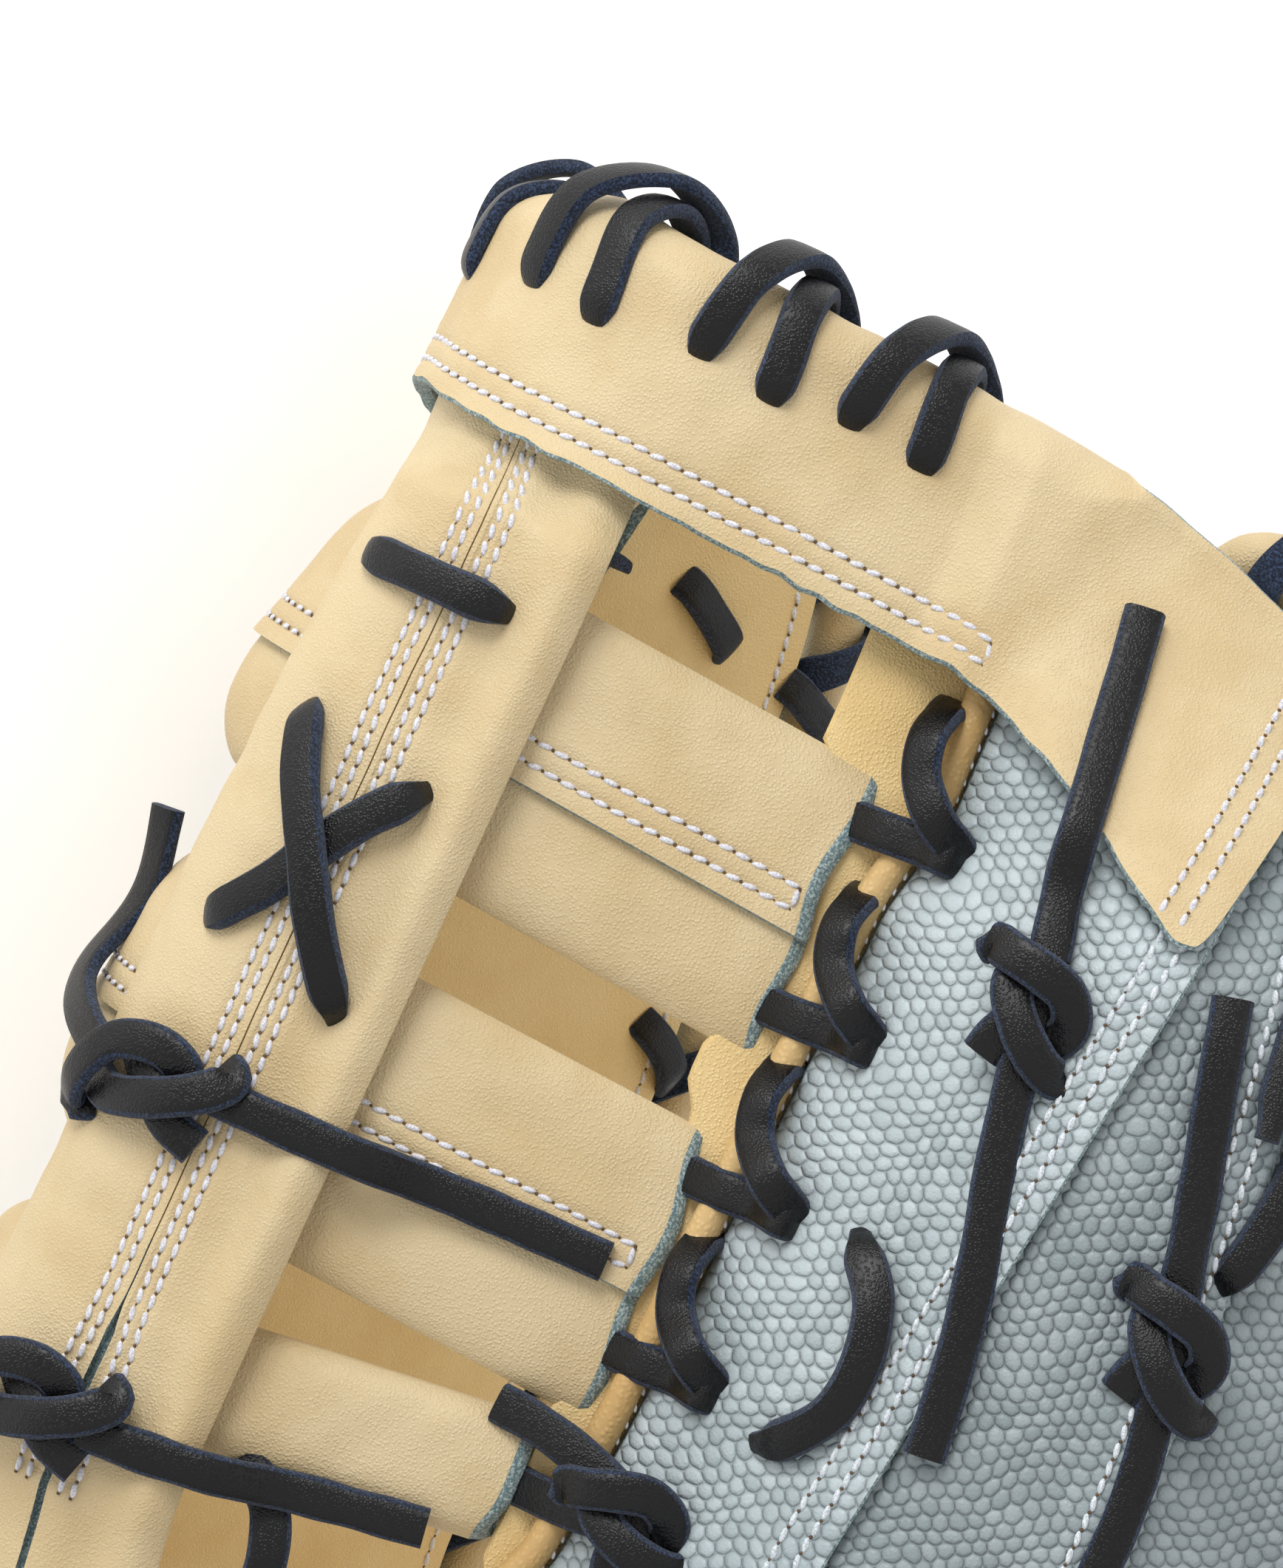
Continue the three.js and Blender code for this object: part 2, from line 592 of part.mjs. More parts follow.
// Laces that lie on the leather, along as shares of the length, across as shares of WEB_HALF
const LYING_LACES = {
  post_cross_lace: [{ along: 0.16, across: -0.158 }, { along: 0.16, across: 0.117 }],
  post_x_lace_under: [
    { along: 0.2987, across: -0.137 }, { along: 0.2642, across: -0.017 }, { along: 0.2327, across: 0.09 },
  ],
  finger_j_lace: [
    { along: 0.3145, across: 1.25 }, { along: 0.327, across: 1.317 }, { along: 0.3522, across: 1.342 },
    { along: 0.3774, across: 1.308 }, { along: 0.3899, across: 1.233 },
  ],
  finger_curved_lace: [
    { along: 0.2003, across: 1.855 }, { along: 0.2201, across: 1.875 }, { along: 0.2453, across: 1.867 },
    { along: 0.266, across: 1.84 },
  ],
  finger_square_end: [
    { along: 0.155, across: 1.75 }, { along: 0.1855, across: 1.775 }, { along: 0.2179, across: 1.795 },
  ],
};
const FRONT_STRAND = [
  { along: 0.2233, across: -0.142 }, { along: 0.2673, across: 0 }, { along: 0.3113, across: 0.128 },
];

// Lacing between the bars' ends and a back's edge: up and down from hole to hole
const WEB_HOLES = [0.13, 0.174, 0.21, 0.247, 0.28, 0.313, 0.347, 0.38, 0.415];
const WEB_HOLE_REACH = { finger: 1.09, thumb: 1 }; // shares of WEB_HALF
function webLace(name, sign) {
  const route = WEB_HOLES.map((along, i) => ({
    along, across: sign * (i % 2 ? WEB_HOLE_REACH[name] : 0.84),
  }));
  return ribbon(lying(route, (WEB_HOLES.length - 1) * 5), FLAT);
}

// Lacing between the base bar and the palm's crotch
const CROTCH = [
  { along: 0.4765, across: 0.4, height: 0.4 },
  { along: 0.517, across: 0.45, height: 0.86 },
  { along: 0.545, across: 0.4, height: 0.86 },
];
function crotchLace(sign) {
  const spots = CROTCH.map((p) => [p.along * LENGTH, sign * p.across * WEB_HALF, p.height * BAR_TOP]);
  return ribbon(spots.map(([along, across, height]) => ({
    point: place(along, across, height), side: directions(along, across).fingerward,
  })), FLAT);
}

// Knots, and the free tails that leave them
const KNOTS = {
  finger_knot_upper: { along: 0.2085, across: 1.307 },
  finger_knot_lower: { along: 0.295, across: 1.79 },
  web_end_knot: { along: 0.434, across: 1.05 },
  post_knot: { along: 0.3648, across: -0.05 },
  base_knot: { along: 0.4843, across: -0.017 },
};
const KNOT_LONG = 9;
const KNOT_WIDE = 8;
const KNOT_THICK = 4.6;
const KNOT_RINGS = [
  { at: -1, size: 0.55 }, { at: -0.6, size: 0.9 }, { at: 0, size: 1 }, { at: 0.6, size: 0.9 }, { at: 1, size: 0.55 },
];
function knot({ along, across }) {
  const [a, s] = [along * LENGTH, across * WEB_HALF];
  const under = Math.max(...[-2, 0, 2].map((d) => over(a, s + d)));
  const { heelward, fingerward, out } = directions(a, s);
  const middle = place(a, s, under + 3 * CLEAR + KNOT_THICK / 2);
  return loft(KNOT_RINGS.map(({ at, size }) => ROUNDED.map(([x, y]) =>
    middle.clone().addScaledVector(heelward, (at * KNOT_LONG) / 2)
      .addScaledVector(fingerward, (x * size * KNOT_WIDE) / 2)
      .addScaledVector(out, (y * size * KNOT_THICK) / 2))));
}
const TAILS = {
  finger_tail_1: [
    { along: 0.1915, across: 1.297 }, { along: 0.1572, across: 1.258 }, { along: 0.1195, across: 1.238 },
    { along: 0.0881, across: 1.227 }, { along: 0.0657, across: 1.217 },
  ],
  finger_tail_2: [
    { along: 0.2262, across: 1.325 }, { along: 0.2642, across: 1.367 }, { along: 0.3019, across: 1.417 },
    { along: 0.3365, across: 1.45 }, { along: 0.3657, across: 1.467 },
  ],
  finger_tail_3: [
    { along: 0.2785, across: 1.767 }, { along: 0.2453, across: 1.725 }, { along: 0.2107, across: 1.675 },
    { along: 0.1777, across: 1.63 },
  ],
  finger_tail_4: [
    { along: 0.3125, across: 1.808 }, { along: 0.3365, across: 1.833 }, { along: 0.3616, across: 1.843 },
    { along: 0.3855, across: 1.842 }, { along: 0.418, across: 1.84 }, { along: 0.448, across: 1.832 },
  ],
  post_tail_straight: [
    { along: 0.3579, across: 0.025 }, { along: 0.3569, across: 0.333 }, { along: 0.3553, across: 0.567 },
    { along: 0.3547, across: 0.8 },
  ],
  post_tail_curled: [
    { along: 0.3648, across: -0.13 }, { along: 0.3447, across: -0.308 }, { along: 0.3126, across: -0.362 },
    { along: 0.2756, across: -0.347 },
  ],
  base_tail: [
    { along: 0.4843, across: 0.065 }, { along: 0.4796, across: 0.3 }, { along: 0.4733, across: 0.5 },
    { along: 0.4673, across: 0.7 },
  ],
};

// Wrist strap, from the finger back over the opening to the thumb back
const STRAP_FINGER_END = 0.57; // shares of each side's reach
const STRAP_THUMB_END = -0.52;
function strap() {
  const from = THUMB_REACH * STRAP_THUMB_END;
  const to = FINGER_REACH * STRAP_FINGER_END;
  const openTop = Math.max(...Object.values(SIDES).map((side) => backSpot(side, STRAP_PLACE, 0).height));
  return wall(16, 2, (u, v) => {
    const along = STRAP_PLACE + STRAP_WIDTH * (v - 0.5);
    const across = from + (to - from) * u;
    const side = across < 0 ? SIDES.thumb : SIDES.finger;
    const edge = Math.abs(backSpot(side, along, 0).across);
    const limit = SEAT - SIDES.thumb.strap + STRAP_THICK * ease(across, 0, edge);
    const under = Math.abs(across) < edge + 8 ? Math.min(openTop + CLEAR, limit) : 0;
    const height = Math.max(over(along, across), over(along, across + 4), under) + 3 * CLEAR;
    return { outer: place(along, across, height + STRAP_THICK), inner: place(along, across, height) };
  });
}

// The mitt

const group = new THREE.Group();
function add(name, geometry, { color, roughness }) {
  const mesh = new THREE.Mesh(geometry, new THREE.MeshStandardMaterial({ color, roughness, metalness: 0 }));
  mesh.name = name;
  group.add(mesh);
}

const BLOND = { color: 0xdebe87, roughness: 0.6 };
const GREY = { color: 0x828e8f, roughness: 0.55 };
const BLACK = { color: 0x26242a, roughness: 0.7 };

add('palm', palm(), BLOND);
add('finger_back_index', backPanel(SIDES.finger, innerEdge, indexSeam, 4), GREY);
add('finger_back_middle', backPanel(SIDES.finger, indexSeam, middleSeam, 3), GREY);
add('finger_back_outer', backPanel(SIDES.finger, middleSeam, outerEdge, 4), GREY);
add('thumb_back_inner', backPanel(SIDES.thumb, innerEdge, thumbSeam, 4), GREY);
add('thumb_back_outer', backPanel(SIDES.thumb, thumbSeam, outerEdge, 4), GREY);
add('finger_binding', binding(SIDES.finger), BLOND);
add('thumb_binding', binding(SIDES.thumb), BLOND);
for (const [name, stretch] of Object.entries(RIM_STRETCHES)) {
  add(`${name}_rim_roll`, rimRoll(stretch), BLOND);
  add(`${name}_rim_lace`, rimLace(stretch), BLACK);
}
add('web_crown', crown(), BLOND);
add('web_post', post(), BLOND);
for (const [name, sizes] of Object.entries(BARS)) add(name, bar(sizes), BLOND);
add('wrist_strap', strap(), GREY);
CROWN_PAIRS.forEach((pair, i) => add(`crown_lace_${i + 1}`, ribbon(crownPair(pair), FLAT), BLACK));
for (const [name, route] of Object.entries(LYING_LACES)) {
  add(name, ribbon(lying(route, route.length + 2), FLAT), BLACK);
}
add('post_x_lace_over', ribbon(lying(FRONT_STRAND, 8, LACE_THICK + 2 * CLEAR), FLAT), BLACK);
for (const [name, sign] of [['finger', 1], ['thumb', -1]]) {
  add(`${name}_web_lace`, webLace(name, sign), BLACK);
  add(`${name}_crotch_lace`, crotchLace(sign), BLACK);
}
for (const [name, spot] of Object.entries(KNOTS)) add(name, knot(spot), BLACK);
for (const [name, route] of Object.entries(TAILS)) add(name, ribbon(lying(route, route.length + 3)), BLACK);

const box = new THREE.Box3().setFromObject(group);
group.position.set(-(box.min.x + box.max.x) / 2, -(box.min.y + box.max.y) / 2, -box.min.z);
export default group;
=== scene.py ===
"""A first baseman mitt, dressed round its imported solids.

A place on the leather is (along, across, height) in millimetres: along from the web's folded top
edge to the heel, across from the post's axis (+ to the fingers, - to the thumb), and height out of
the leather towards the back of the hand. Meshes are in metres.
"""

import logging
import math
from abc import ABC, abstractmethod
from collections.abc import Callable, Sequence
from dataclasses import dataclass
from enum import Enum
from typing import Any

import bpy
import numpy as np
from mathutils import Matrix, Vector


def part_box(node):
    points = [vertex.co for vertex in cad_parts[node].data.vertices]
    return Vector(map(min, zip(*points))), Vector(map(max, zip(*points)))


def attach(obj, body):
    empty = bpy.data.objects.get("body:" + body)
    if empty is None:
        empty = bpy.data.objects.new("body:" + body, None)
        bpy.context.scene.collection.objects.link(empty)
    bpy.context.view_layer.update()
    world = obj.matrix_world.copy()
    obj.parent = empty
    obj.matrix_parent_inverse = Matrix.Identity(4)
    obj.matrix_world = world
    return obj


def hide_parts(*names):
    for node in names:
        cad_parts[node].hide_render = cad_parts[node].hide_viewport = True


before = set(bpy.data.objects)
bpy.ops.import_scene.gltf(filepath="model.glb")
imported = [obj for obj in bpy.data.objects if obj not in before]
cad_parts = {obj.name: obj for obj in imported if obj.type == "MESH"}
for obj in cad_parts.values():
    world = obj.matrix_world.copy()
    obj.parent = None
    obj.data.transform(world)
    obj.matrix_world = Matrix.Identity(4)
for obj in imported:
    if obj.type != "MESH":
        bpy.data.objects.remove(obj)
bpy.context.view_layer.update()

LOG = logging.getLogger("mitt")
Array = np.ndarray
Places = Array | float
Node = bpy.types.Node
Socket = bpy.types.NodeSocket
MM = 0.001


class Slot(Enum):
    """The record's material slots."""

    BLOND = "blond_leather"
    GREY = "grey_leather"
    LACE = "lace"


class Lay(Enum):
    """How a lace's width is turned: flat on the leather, or level round the crown's fold."""

    FLAT = "flat"
    ROUND_FOLD = "round_fold"


@dataclass(frozen=True)
class Sizes:
    """The mitt's driving sizes in millimetres, as its solids have them.

    open_angle is in degrees, and back, back_sewn and crotch are shares of the length.
    """

    length: float = 318
    finger_reach: float = 149
    thumb_reach: float = 121
    web_half: float = 60
    open_angle: float = 45
    fold_radius: float = 20
    tip_curl: float = 8
    heel_curl: float = 12
    palm_thick: float = 3
    back_thick: float = 2.2
    hand_room: float = 20
    thumb_room: float = 18
    clear: float = 0.3
    binding_radius: float = 1.9
    rim_radius: float = 3.6
    rim_lift: float = 2.2
    crown_depth: float = 33
    crown_thick: float = 2.5
    crown_half: float = 5
    tongue_reach: float = 98
    post_width: float = 29.5
    post_thick: float = 3.8
    post_end: float = 173
    bar_width: float = 35.5
    bar_thick: float = 7
    bar_half: float = 52.5
    base_bar_width: float = 15.5
    upper_bar: float = 63.5
    lower_bar: float = 109.5
    base_bar: float = 146
    lace_width: float = 4.75
    lace_thick: float = 1.6
    rim_lace_pitch: float = 20
    strap_width: float = 26
    strap_thick: float = 3
    strap_place: float = 252
    stitch_pitch: float = 2.1
    back: tuple[float, float] = (0.05, 0.925)
    back_sewn: tuple[float, float] = (0.055, 0.915)
    crotch: tuple[float, float] = (0.5, 0.68)
    lap_rises: tuple[float, float] = (-11, -4)

    @property
    def seat(self) -> float:
        """Height of the palm's middle over the floor."""
        return self.palm_thick / 2 + self.thumb_room + self.back_thick + self.strap_thick + self.clear

    @property
    def rim_inset(self) -> float:
        """From the roll's axis to the leather's edge."""
        corner = (self.rim_radius + 1.5 * self.clear + self.lace_thick / 2) / math.cos(math.pi / 5)
        return corner + self.lace_thick / 2 + 2 * self.clear


SIZES = Sizes()


class Table:
    """A short table with named columns, read by its first column."""

    def __init__(self, *names: str, rows: Sequence[Sequence[float]]) -> None:
        """Keeps the rows as columns.

        Args:
            names: The columns' names, the key first.
            rows: The rows, in the key's order.
        """
        self.key = names[0]
        self.columns = dict(zip(names, np.array(rows, float).T))

    def read(self, column: str, at: Places, reach: float = 0.0) -> Array:
        """A column's value, straight between rows, averaged over a reach to round its corners.

        Args:
            column: The column's name.
            at: Places on the key column.
            reach: How far to each side the corners are rounded.

        Returns:
            The values.
        """
        spots = np.asarray(at, float)
        keys, values = self.columns[self.key], self.columns[column]
        steps = (-1, -0.5, 0, 0.5, 1) if reach else (0,)
        return sum(np.interp(spots + reach * step, keys, values) for step in steps) / len(steps)


FOLD = Table("along", "radius", "lean", rows=(
    (0, 1.18, 44), (0.13, 1.1, 33), (0.2, 1, 23), (0.5, 1, 23), (0.7, 1.5, 50), (1, 1.7, 67)))
BACK_EDGE = Table("along", "across", rows=(
    (0.03, 1.035), (0.16, 1.045), (0.2, 1.005), (0.28, 0.99), (0.4, 0.975), (0.46, 0.95),
    (0.5, 0.87), (0.54, 0.68), (0.57, 0.36), (0.582, 0.12), (0.6, 0.16), (0.66, 0.36),
    (0.75, 0.6), (0.85, 0.76), (0.93, 0.77)))
OUTLINE = Table("rim_along", "rim", "web_along", "web", rows=(
    (0.03, -0.62, 0.049, -1.01), (0.055, -0.74, 0.09, -1.01), (0.13, -0.87, 0.15, -1.01),
    (0.24, -0.965, 0.23, -1), (0.37, -1, 0.32, -1), (0.5, -0.99, 0.4, -0.98),
    (0.63, -0.94, 0.46, -0.93), (0.76, -0.83, 0.5, -0.76), (0.87, -0.66, 0.525, -0.48),
    (0.95, -0.44, 0.533, -0.2), (0.98, -0.14, 0.534, -0.03), (0.98, 0.16, 0.533, 0.14),
    (0.965, 0.4, 0.53, 0.34), (0.92, 0.62, 0.52, 0.56), (0.84, 0.8, 0.5, 0.76),
    (0.73, 0.92, 0.46, 0.93), (0.6, 0.985, 0.4, 0.98), (0.46, 1, 0.32, 1),
    (0.32, 0.97, 0.23, 1), (0.19, 0.89, 0.15, 1.01), (0.085, 0.76, 0.09, 1.01),
    (0.035, 0.6, 0.049, 1.01)))
CROWN_EDGE = Table("across", "top", "low", rows=(
    (0, 0.06, 0.985), (0.08, 0.1, 0.99), (0.36, 0.15, 1.04), (0.56, 0.17, 1.08),
    (0.62, 0.19, 1.12), (0.72, 0.24, 1.26), (0.83, 0.33, 1.47), (0.91, 0.42, 1.62),
    (0.94, 0.48, 1.6), (1, 0.62, 0.85)))


def ease(value: Places, start: Places, end: Places) -> Array:
    """Steady rise from 0 at one end to 1 at the other."""
    share = np.clip((np.asarray(value, float) - start) / (np.asarray(end, float) - start), 0, 1)
    return share * share * (3 - 2 * share)


def unit(vectors: Array) -> Array:
    """Vectors of length one."""
    return vectors / np.maximum(np.linalg.norm(vectors, axis=-1, keepdims=True), 1e-12)


def bump_at(value: Places, centre: float, half: float) -> Array:
    """A smooth hump of height one round a centre."""
    return np.exp(-((np.asarray(value, float) - centre) / half) ** 2)


def catmull(rows: Array, shares: Array) -> Array:
    """Points of a centripetal Catmull-Rom curve through rows, as the solids' outlines use.

    Args:
        rows: The rows that the curve passes; their first three columns set its pace.
        shares: Places along the rows, from 0 to 1.

    Returns:
        One row of values for each share.
    """
    last = len(rows) - 1
    known = np.vstack([2 * rows[0] - rows[1], rows, 2 * rows[-1] - rows[-2]])
    at = np.clip(shares, 0, 1) * last
    low = np.minimum(at.astype(int), last - 1)
    step = (at - low)[:, None]
    p0, p1, p2, p3 = (known[low + k] for k in range(4))
    d0, d1, d2 = (
        np.maximum(((q - p)[:, :3] ** 2).sum(1), 1e-9)[:, None] ** 0.25
        for p, q in ((p0, p1), (p1, p2), (p2, p3)))
    m1 = ((p1 - p0) / d0 - (p2 - p0) / (d0 + d1) + (p2 - p1) / d1) * d1
    m2 = ((p2 - p1) / d1 - (p3 - p1) / (d1 + d2) + (p3 - p2) / d2) * d1
    return (p1 + m1 * step + (3 * (p2 - p1) - 2 * m1 - m2) * step**2
            + (2 * (p1 - p2) + m1 + m2) * step**3)


def evenly(rows: Array, step: float, measure: int = 3) -> Array:
    """Rows of a smooth curve at even steps.

    Args:
        rows: The curve's chosen rows.
        step: Distance between the new rows.
        measure: How many leading columns are a place.

    Returns:
        The new rows.
    """
    fine = catmull(rows, np.linspace(0, 1, 24 * len(rows)))
    run = np.concatenate([[0], np.cumsum(np.linalg.norm(np.diff(fine[:, :measure], axis=0), axis=1))])
    count = max(int(run[-1] / step), 2)
    at = np.linspace(0, run[-1], count + 1)
    return np.stack([np.interp(at, run, column) for column in fine.T], axis=1)


def ripple(spots: Array, scale: float, seed: int, waves: int = 7) -> Array:
    """Smooth random unevenness from -1 to 1 over points.

    Args:
        spots: Points, in any unit, with two or three columns.
        scale: Length of the waves in that unit.
        seed: Fixes the waves.
        waves: How many waves are added up.

    Returns:
        One value for each point.
    """
    rng = np.random.default_rng(seed)
    total = np.zeros(spots.shape[:-1])
    for _ in range(waves):
        heading = rng.normal(size=spots.shape[-1])
        heading *= 2 * math.pi / scale / np.linalg.norm(heading) * rng.uniform(0.6, 1.5)
        total += np.sin(spots @ heading + rng.uniform(0, 2 * math.pi))
    return total / waves**0.5 / 1.6


@dataclass(frozen=True)
class Side:
    """One side of the mitt and the fullness of its back."""

    sign: int
    room: float
    fill: float
    open: float
    ceiling: float
    strap: float
    full_by: float


FINGER = Side(1, SIZES.hand_room, 0.75, 0.9, math.inf, 0, 0.2)
THUMB = Side(-1, SIZES.thumb_room * 1.7, 0.55, 0.66, SIZES.seat,
             SIZES.strap_thick + 4 * SIZES.clear, 0.32)


class Hide:
    """The surface that every piece of the mitt lies on or over."""

    STATIONS_FROM = 0.05
    POST_STATIONS = (0.055, 0.085, 0.11, 0.13, 0.17, 0.25, 0.34, 0.43, 0.485, 0.515, 0.545)
    GROUND = 0.2
    ROUNDING = 0.012

    def __init__(self, sizes: Sizes) -> None:
        """Works out the outlines and finds the frame's place from the post's solid.

        Args:
            sizes: The mitt's driving sizes.
        """
        s = self.sizes = sizes
        columns = OUTLINE.columns
        reach = np.where(columns["rim"] < 0, s.thumb_reach, s.finger_reach)
        nil = np.zeros(len(reach))
        self.rim_rows = np.stack([columns["rim_along"] * s.length, columns["rim"] * reach, nil], 1)
        self.web_rows = np.stack([columns["web_along"] * s.length, columns["web"] * s.web_half, nil], 1)
        self.binding_top = s.palm_thick / 2 + s.clear + 2 * s.binding_radius
        self.post_rise = 2 * s.clear + s.post_thick
        self.post_rises = s.upper_bar - s.bar_width * 0.6
        self.flange = s.palm_thick / 2 + s.clear + s.back_thick
        self.rims = {side.sign: self._rim_table(side.sign) for side in (FINGER, THUMB)}
        self.shift = np.zeros(3)
        self.shift = self._frame_shift()

    def rim_point(self, shares: Array, inset: float) -> Array:
        """The outline moved in by an inset, at shares of its rows, as (along, across).

        Args:
            shares: Places round the outline, from 0 to 1.
            inset: How far in, in millimetres.

        Returns:
            Points as (along, across).
        """
        shares = np.asarray(shares, float)
        spot = catmull(self.rim_rows, shares)
        step = 0.0001
        heading = unit(catmull(self.rim_rows, shares + step) - catmull(self.rim_rows, shares - step))
        return np.stack([spot[:, 0] - heading[:, 1] * inset, spot[:, 1] + heading[:, 0] * inset], 1)

    def _rim_table(self, sign: int) -> tuple[Array, Array]:
        """Outer edge of one side as a function of the place along.

        Args:
            sign: The side: 1 for the fingers, -1 for the thumb.

        Returns:
            Places along, and the edge's place across at each.
        """
        spots = self.rim_point(np.linspace(0, 1, 201), self.sizes.rim_inset)
        kept = spots[(np.sign(spots[:, 1]) == sign) & (spots[:, 0] < self.sizes.length * 0.945)]
        kept = kept[np.argsort(kept[:, 0])]
        return kept[:, 0], kept[:, 1]

    def _frame_shift(self) -> Array:
        """Moves the surface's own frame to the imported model's, in metres, from the post's box.

        Returns:
            The move in metres.
        """
        along = np.minimum(np.array(self.POST_STATIONS) * self.sizes.length, self.sizes.post_end)
        shares = np.linspace(0, 1, 9)
        sides = [self.place(*np.broadcast_arrays(along[:, None], self.post_across(shares),
                                                 self.post_height(along, shares, face)))
                 for face in (1, -1)]
        own = np.concatenate(sides).reshape(-1, 3).min(0)
        lowest = np.array(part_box("web_post")[0])
        return np.array([lowest[0] - own[0], lowest[1] - own[1], 0])

    def fold(self, share: Array) -> tuple[Array, Array]:
        """The bend's radius, and how far across it starts, at shares of the mitt's length."""
        radius = self.sizes.fold_radius * FOLD.read("radius", share, self.ROUNDING)
        return radius, radius * np.radians(FOLD.read("lean", share, self.ROUNDING))

    def skin(self, along: Places, across: Places) -> tuple[Array, Array]:
        """Point on the leather's middle face and its outward direction, in millimetres.

        Args:
            along: Places along the mitt.
            across: Places across it.

        Returns:
            The points and the directions.
        """
        s = self.sizes
        along, across = np.broadcast_arrays(np.asarray(along, float), np.asarray(across, float))
        share = along / s.length
        radius, lead = self.fold(share)
        opening = math.radians(s.open_angle)
        turned = np.clip((lead - across) / radius, 0, math.pi - opening)
        angle = math.pi / 2 + opening + turned
        out = np.stack([np.zeros_like(angle), np.cos(angle), np.sin(angle)], -1)
        beyond = across - (lead - turned * radius)
        point = np.stack([along, radius / math.tan(opening / 2) + beyond * out[..., 2],
                          radius + s.seat - beyond * out[..., 1]], -1)
        curl = s.tip_curl * ease(share, 0.2, 0) + s.heel_curl * ease(share, 0.72, 1)
        spread = ease(np.abs(across), s.web_half * 0.4, s.web_half * 1.5)
        return point + out * (radius - curl * spread)[..., None], out

    def place(self, along: Places, across: Places, height: Places) -> Array:
        """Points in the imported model's frame, in metres, pressed flat where they would reach the ground.

        Args:
            along: Places along the mitt.
            across: Places across it.
            height: Heights over the leather's middle face.

        Returns:
            Points in metres.
        """
        point, out = self.skin(along, across)
        spot = (point + out * np.asarray(height, float)[..., None]) * MM + self.shift
        spot[..., 2] = np.maximum(spot[..., 2], self.GROUND * MM)
        return spot

    def directions(self, along: Places, across: Places) -> tuple[Array, Array, Array]:
        """Directions on the leather: towards the heel, towards the fingers, and outwards.

        Args:
            along: Places along the mitt.
            across: Places across it.

        Returns:
            Three sets of unit vectors.
        """
        step = 0.5
        along, across = np.broadcast_arrays(np.asarray(along, float), np.asarray(across, float))
        heelward = unit(self.skin(along + step, across)[0] - self.skin(along - step, across)[0])
        fingerward = unit(self.skin(along, across + step)[0] - self.skin(along, across - step)[0])
        return heelward, fingerward, self.skin(along, across)[1]

    def edges(self, side: Side, along: Places) -> tuple[Array, Array]:
        """Inner edge and rim of a side's back, both as distances from the post's axis.

        Args:
            side: The side of the mitt.
            along: Places along the mitt.

        Returns:
            The two distances in millimetres.
        """
        keys, values = self.rims[side.sign]
        edge = BACK_EDGE.read("across", np.asarray(along) / self.sizes.length, 0.004)
        return edge * self.sizes.web_half, np.abs(np.interp(along, keys, values))

    def back_height(self, side: Side, along: Places, w: Places) -> Array:
        """Outer face of a back: w runs from its inner edge (0) to the rim (1).

        Args:
            side: The side of the mitt.
            along: Places along the mitt.
            w: Shares from the inner edge to the rim.

        Returns:
            Heights in millimetres.
        """
        s = self.sizes
        share = np.asarray(along, float) / s.length
        w = np.clip(w, 0, 1)
        full = ease(share, self.STATIONS_FROM - 0.02, side.full_by)
        lift = ease(share, 0.57, 0.7)
        crotch = ease(share, 0.44, 0.52) * ease(share, 0.7, 0.6)
        closed = np.maximum(np.sin(math.pi * w), 1e-6) ** (side.fill + 0.4 * crotch)
        opened = np.maximum(np.cos(math.pi / 2 * w), 1e-6) ** 0.6
        loose = 7 * s.clear * ease(share, 0.44, 0.5)
        height = self.flange + loose + side.room * full * (
            closed * (1 - lift) + side.open * opened * lift)
        return np.minimum(height, side.ceiling - side.strap * lift * ease(w, 0.75, 0.55))

    def over(self, along: Places, across: Places) -> Array:
        """Outer face of whatever lies under a lace, a tongue or the strap.

        Args:
            along: Places along the mitt.
            across: Places across it.

        Returns:
            Heights in millimetres.
        """
        s = self.sizes
        along, across = np.broadcast_arrays(np.asarray(along, float), np.asarray(across, float))
        far = np.abs(across)
        post = (self.post_rise * ease(far, s.post_width / 2 + 6, s.post_width / 2 + 3)
                * ease(along, s.crown_depth * 1.05, self.post_rises - 1))
        found = s.bar_thick / 2 + post
        for side in (FINGER, THUMB):
            edge, rim = self.edges(side, along)
            back = np.where(far < edge, 0, self.back_height(side, along, (far - edge) / (rim - edge)))
            bound = ((self.binding_top + s.clear) * ease(far, edge - 9, edge - 5)
                     * ease(far, edge + 9, edge + 5))
            here = (across < 0) == (side.sign < 0)
            found = np.where(here, np.maximum(found, np.maximum(back, bound)), found)
        return found

    def tongue_reach(self, across: Places) -> Array:
        """How far the crown reaches on the side of a place."""
        s = self.sizes
        return s.tongue_reach * np.where(np.asarray(across) < 0, s.thumb_reach / s.finger_reach, 1)

    def crown_low(self, across: Places) -> Array:
        """The crown's raw lower edge, along the mitt.

        Args:
            across: Places across the mitt.

        Returns:
            Places along it.
        """
        share = np.abs(across) / self.tongue_reach(across)
        round_fold = 3.6 * bump_at(across, -20, 15)
        return self.sizes.crown_depth * CROWN_EDGE.read("low", share, 0.008) - round_fold

    def crown_top(self, across: Places) -> Array:
        """The crown's fold, along the mitt."""
        share = np.abs(across) / self.tongue_reach(across)
        return self.sizes.crown_depth * CROWN_EDGE.read("top", share, 0.02)

    def over_crown(self, along: Places, across: Places) -> Array:
        """Outer face with the crown and its tongues on top of it.

        Args:
            along: Places along the mitt.
            across: Places across it.

        Returns:
            Heights in millimetres.
        """
        s = self.sizes
        low = self.crown_low(across)
        share = np.abs(across) / self.tongue_reach(across)
        covered = ease(along, low + 6, low + 2) * ease(share, 1.08, 1.03)
        return self.over(along, across) + (6 * s.clear + s.crown_thick) * covered

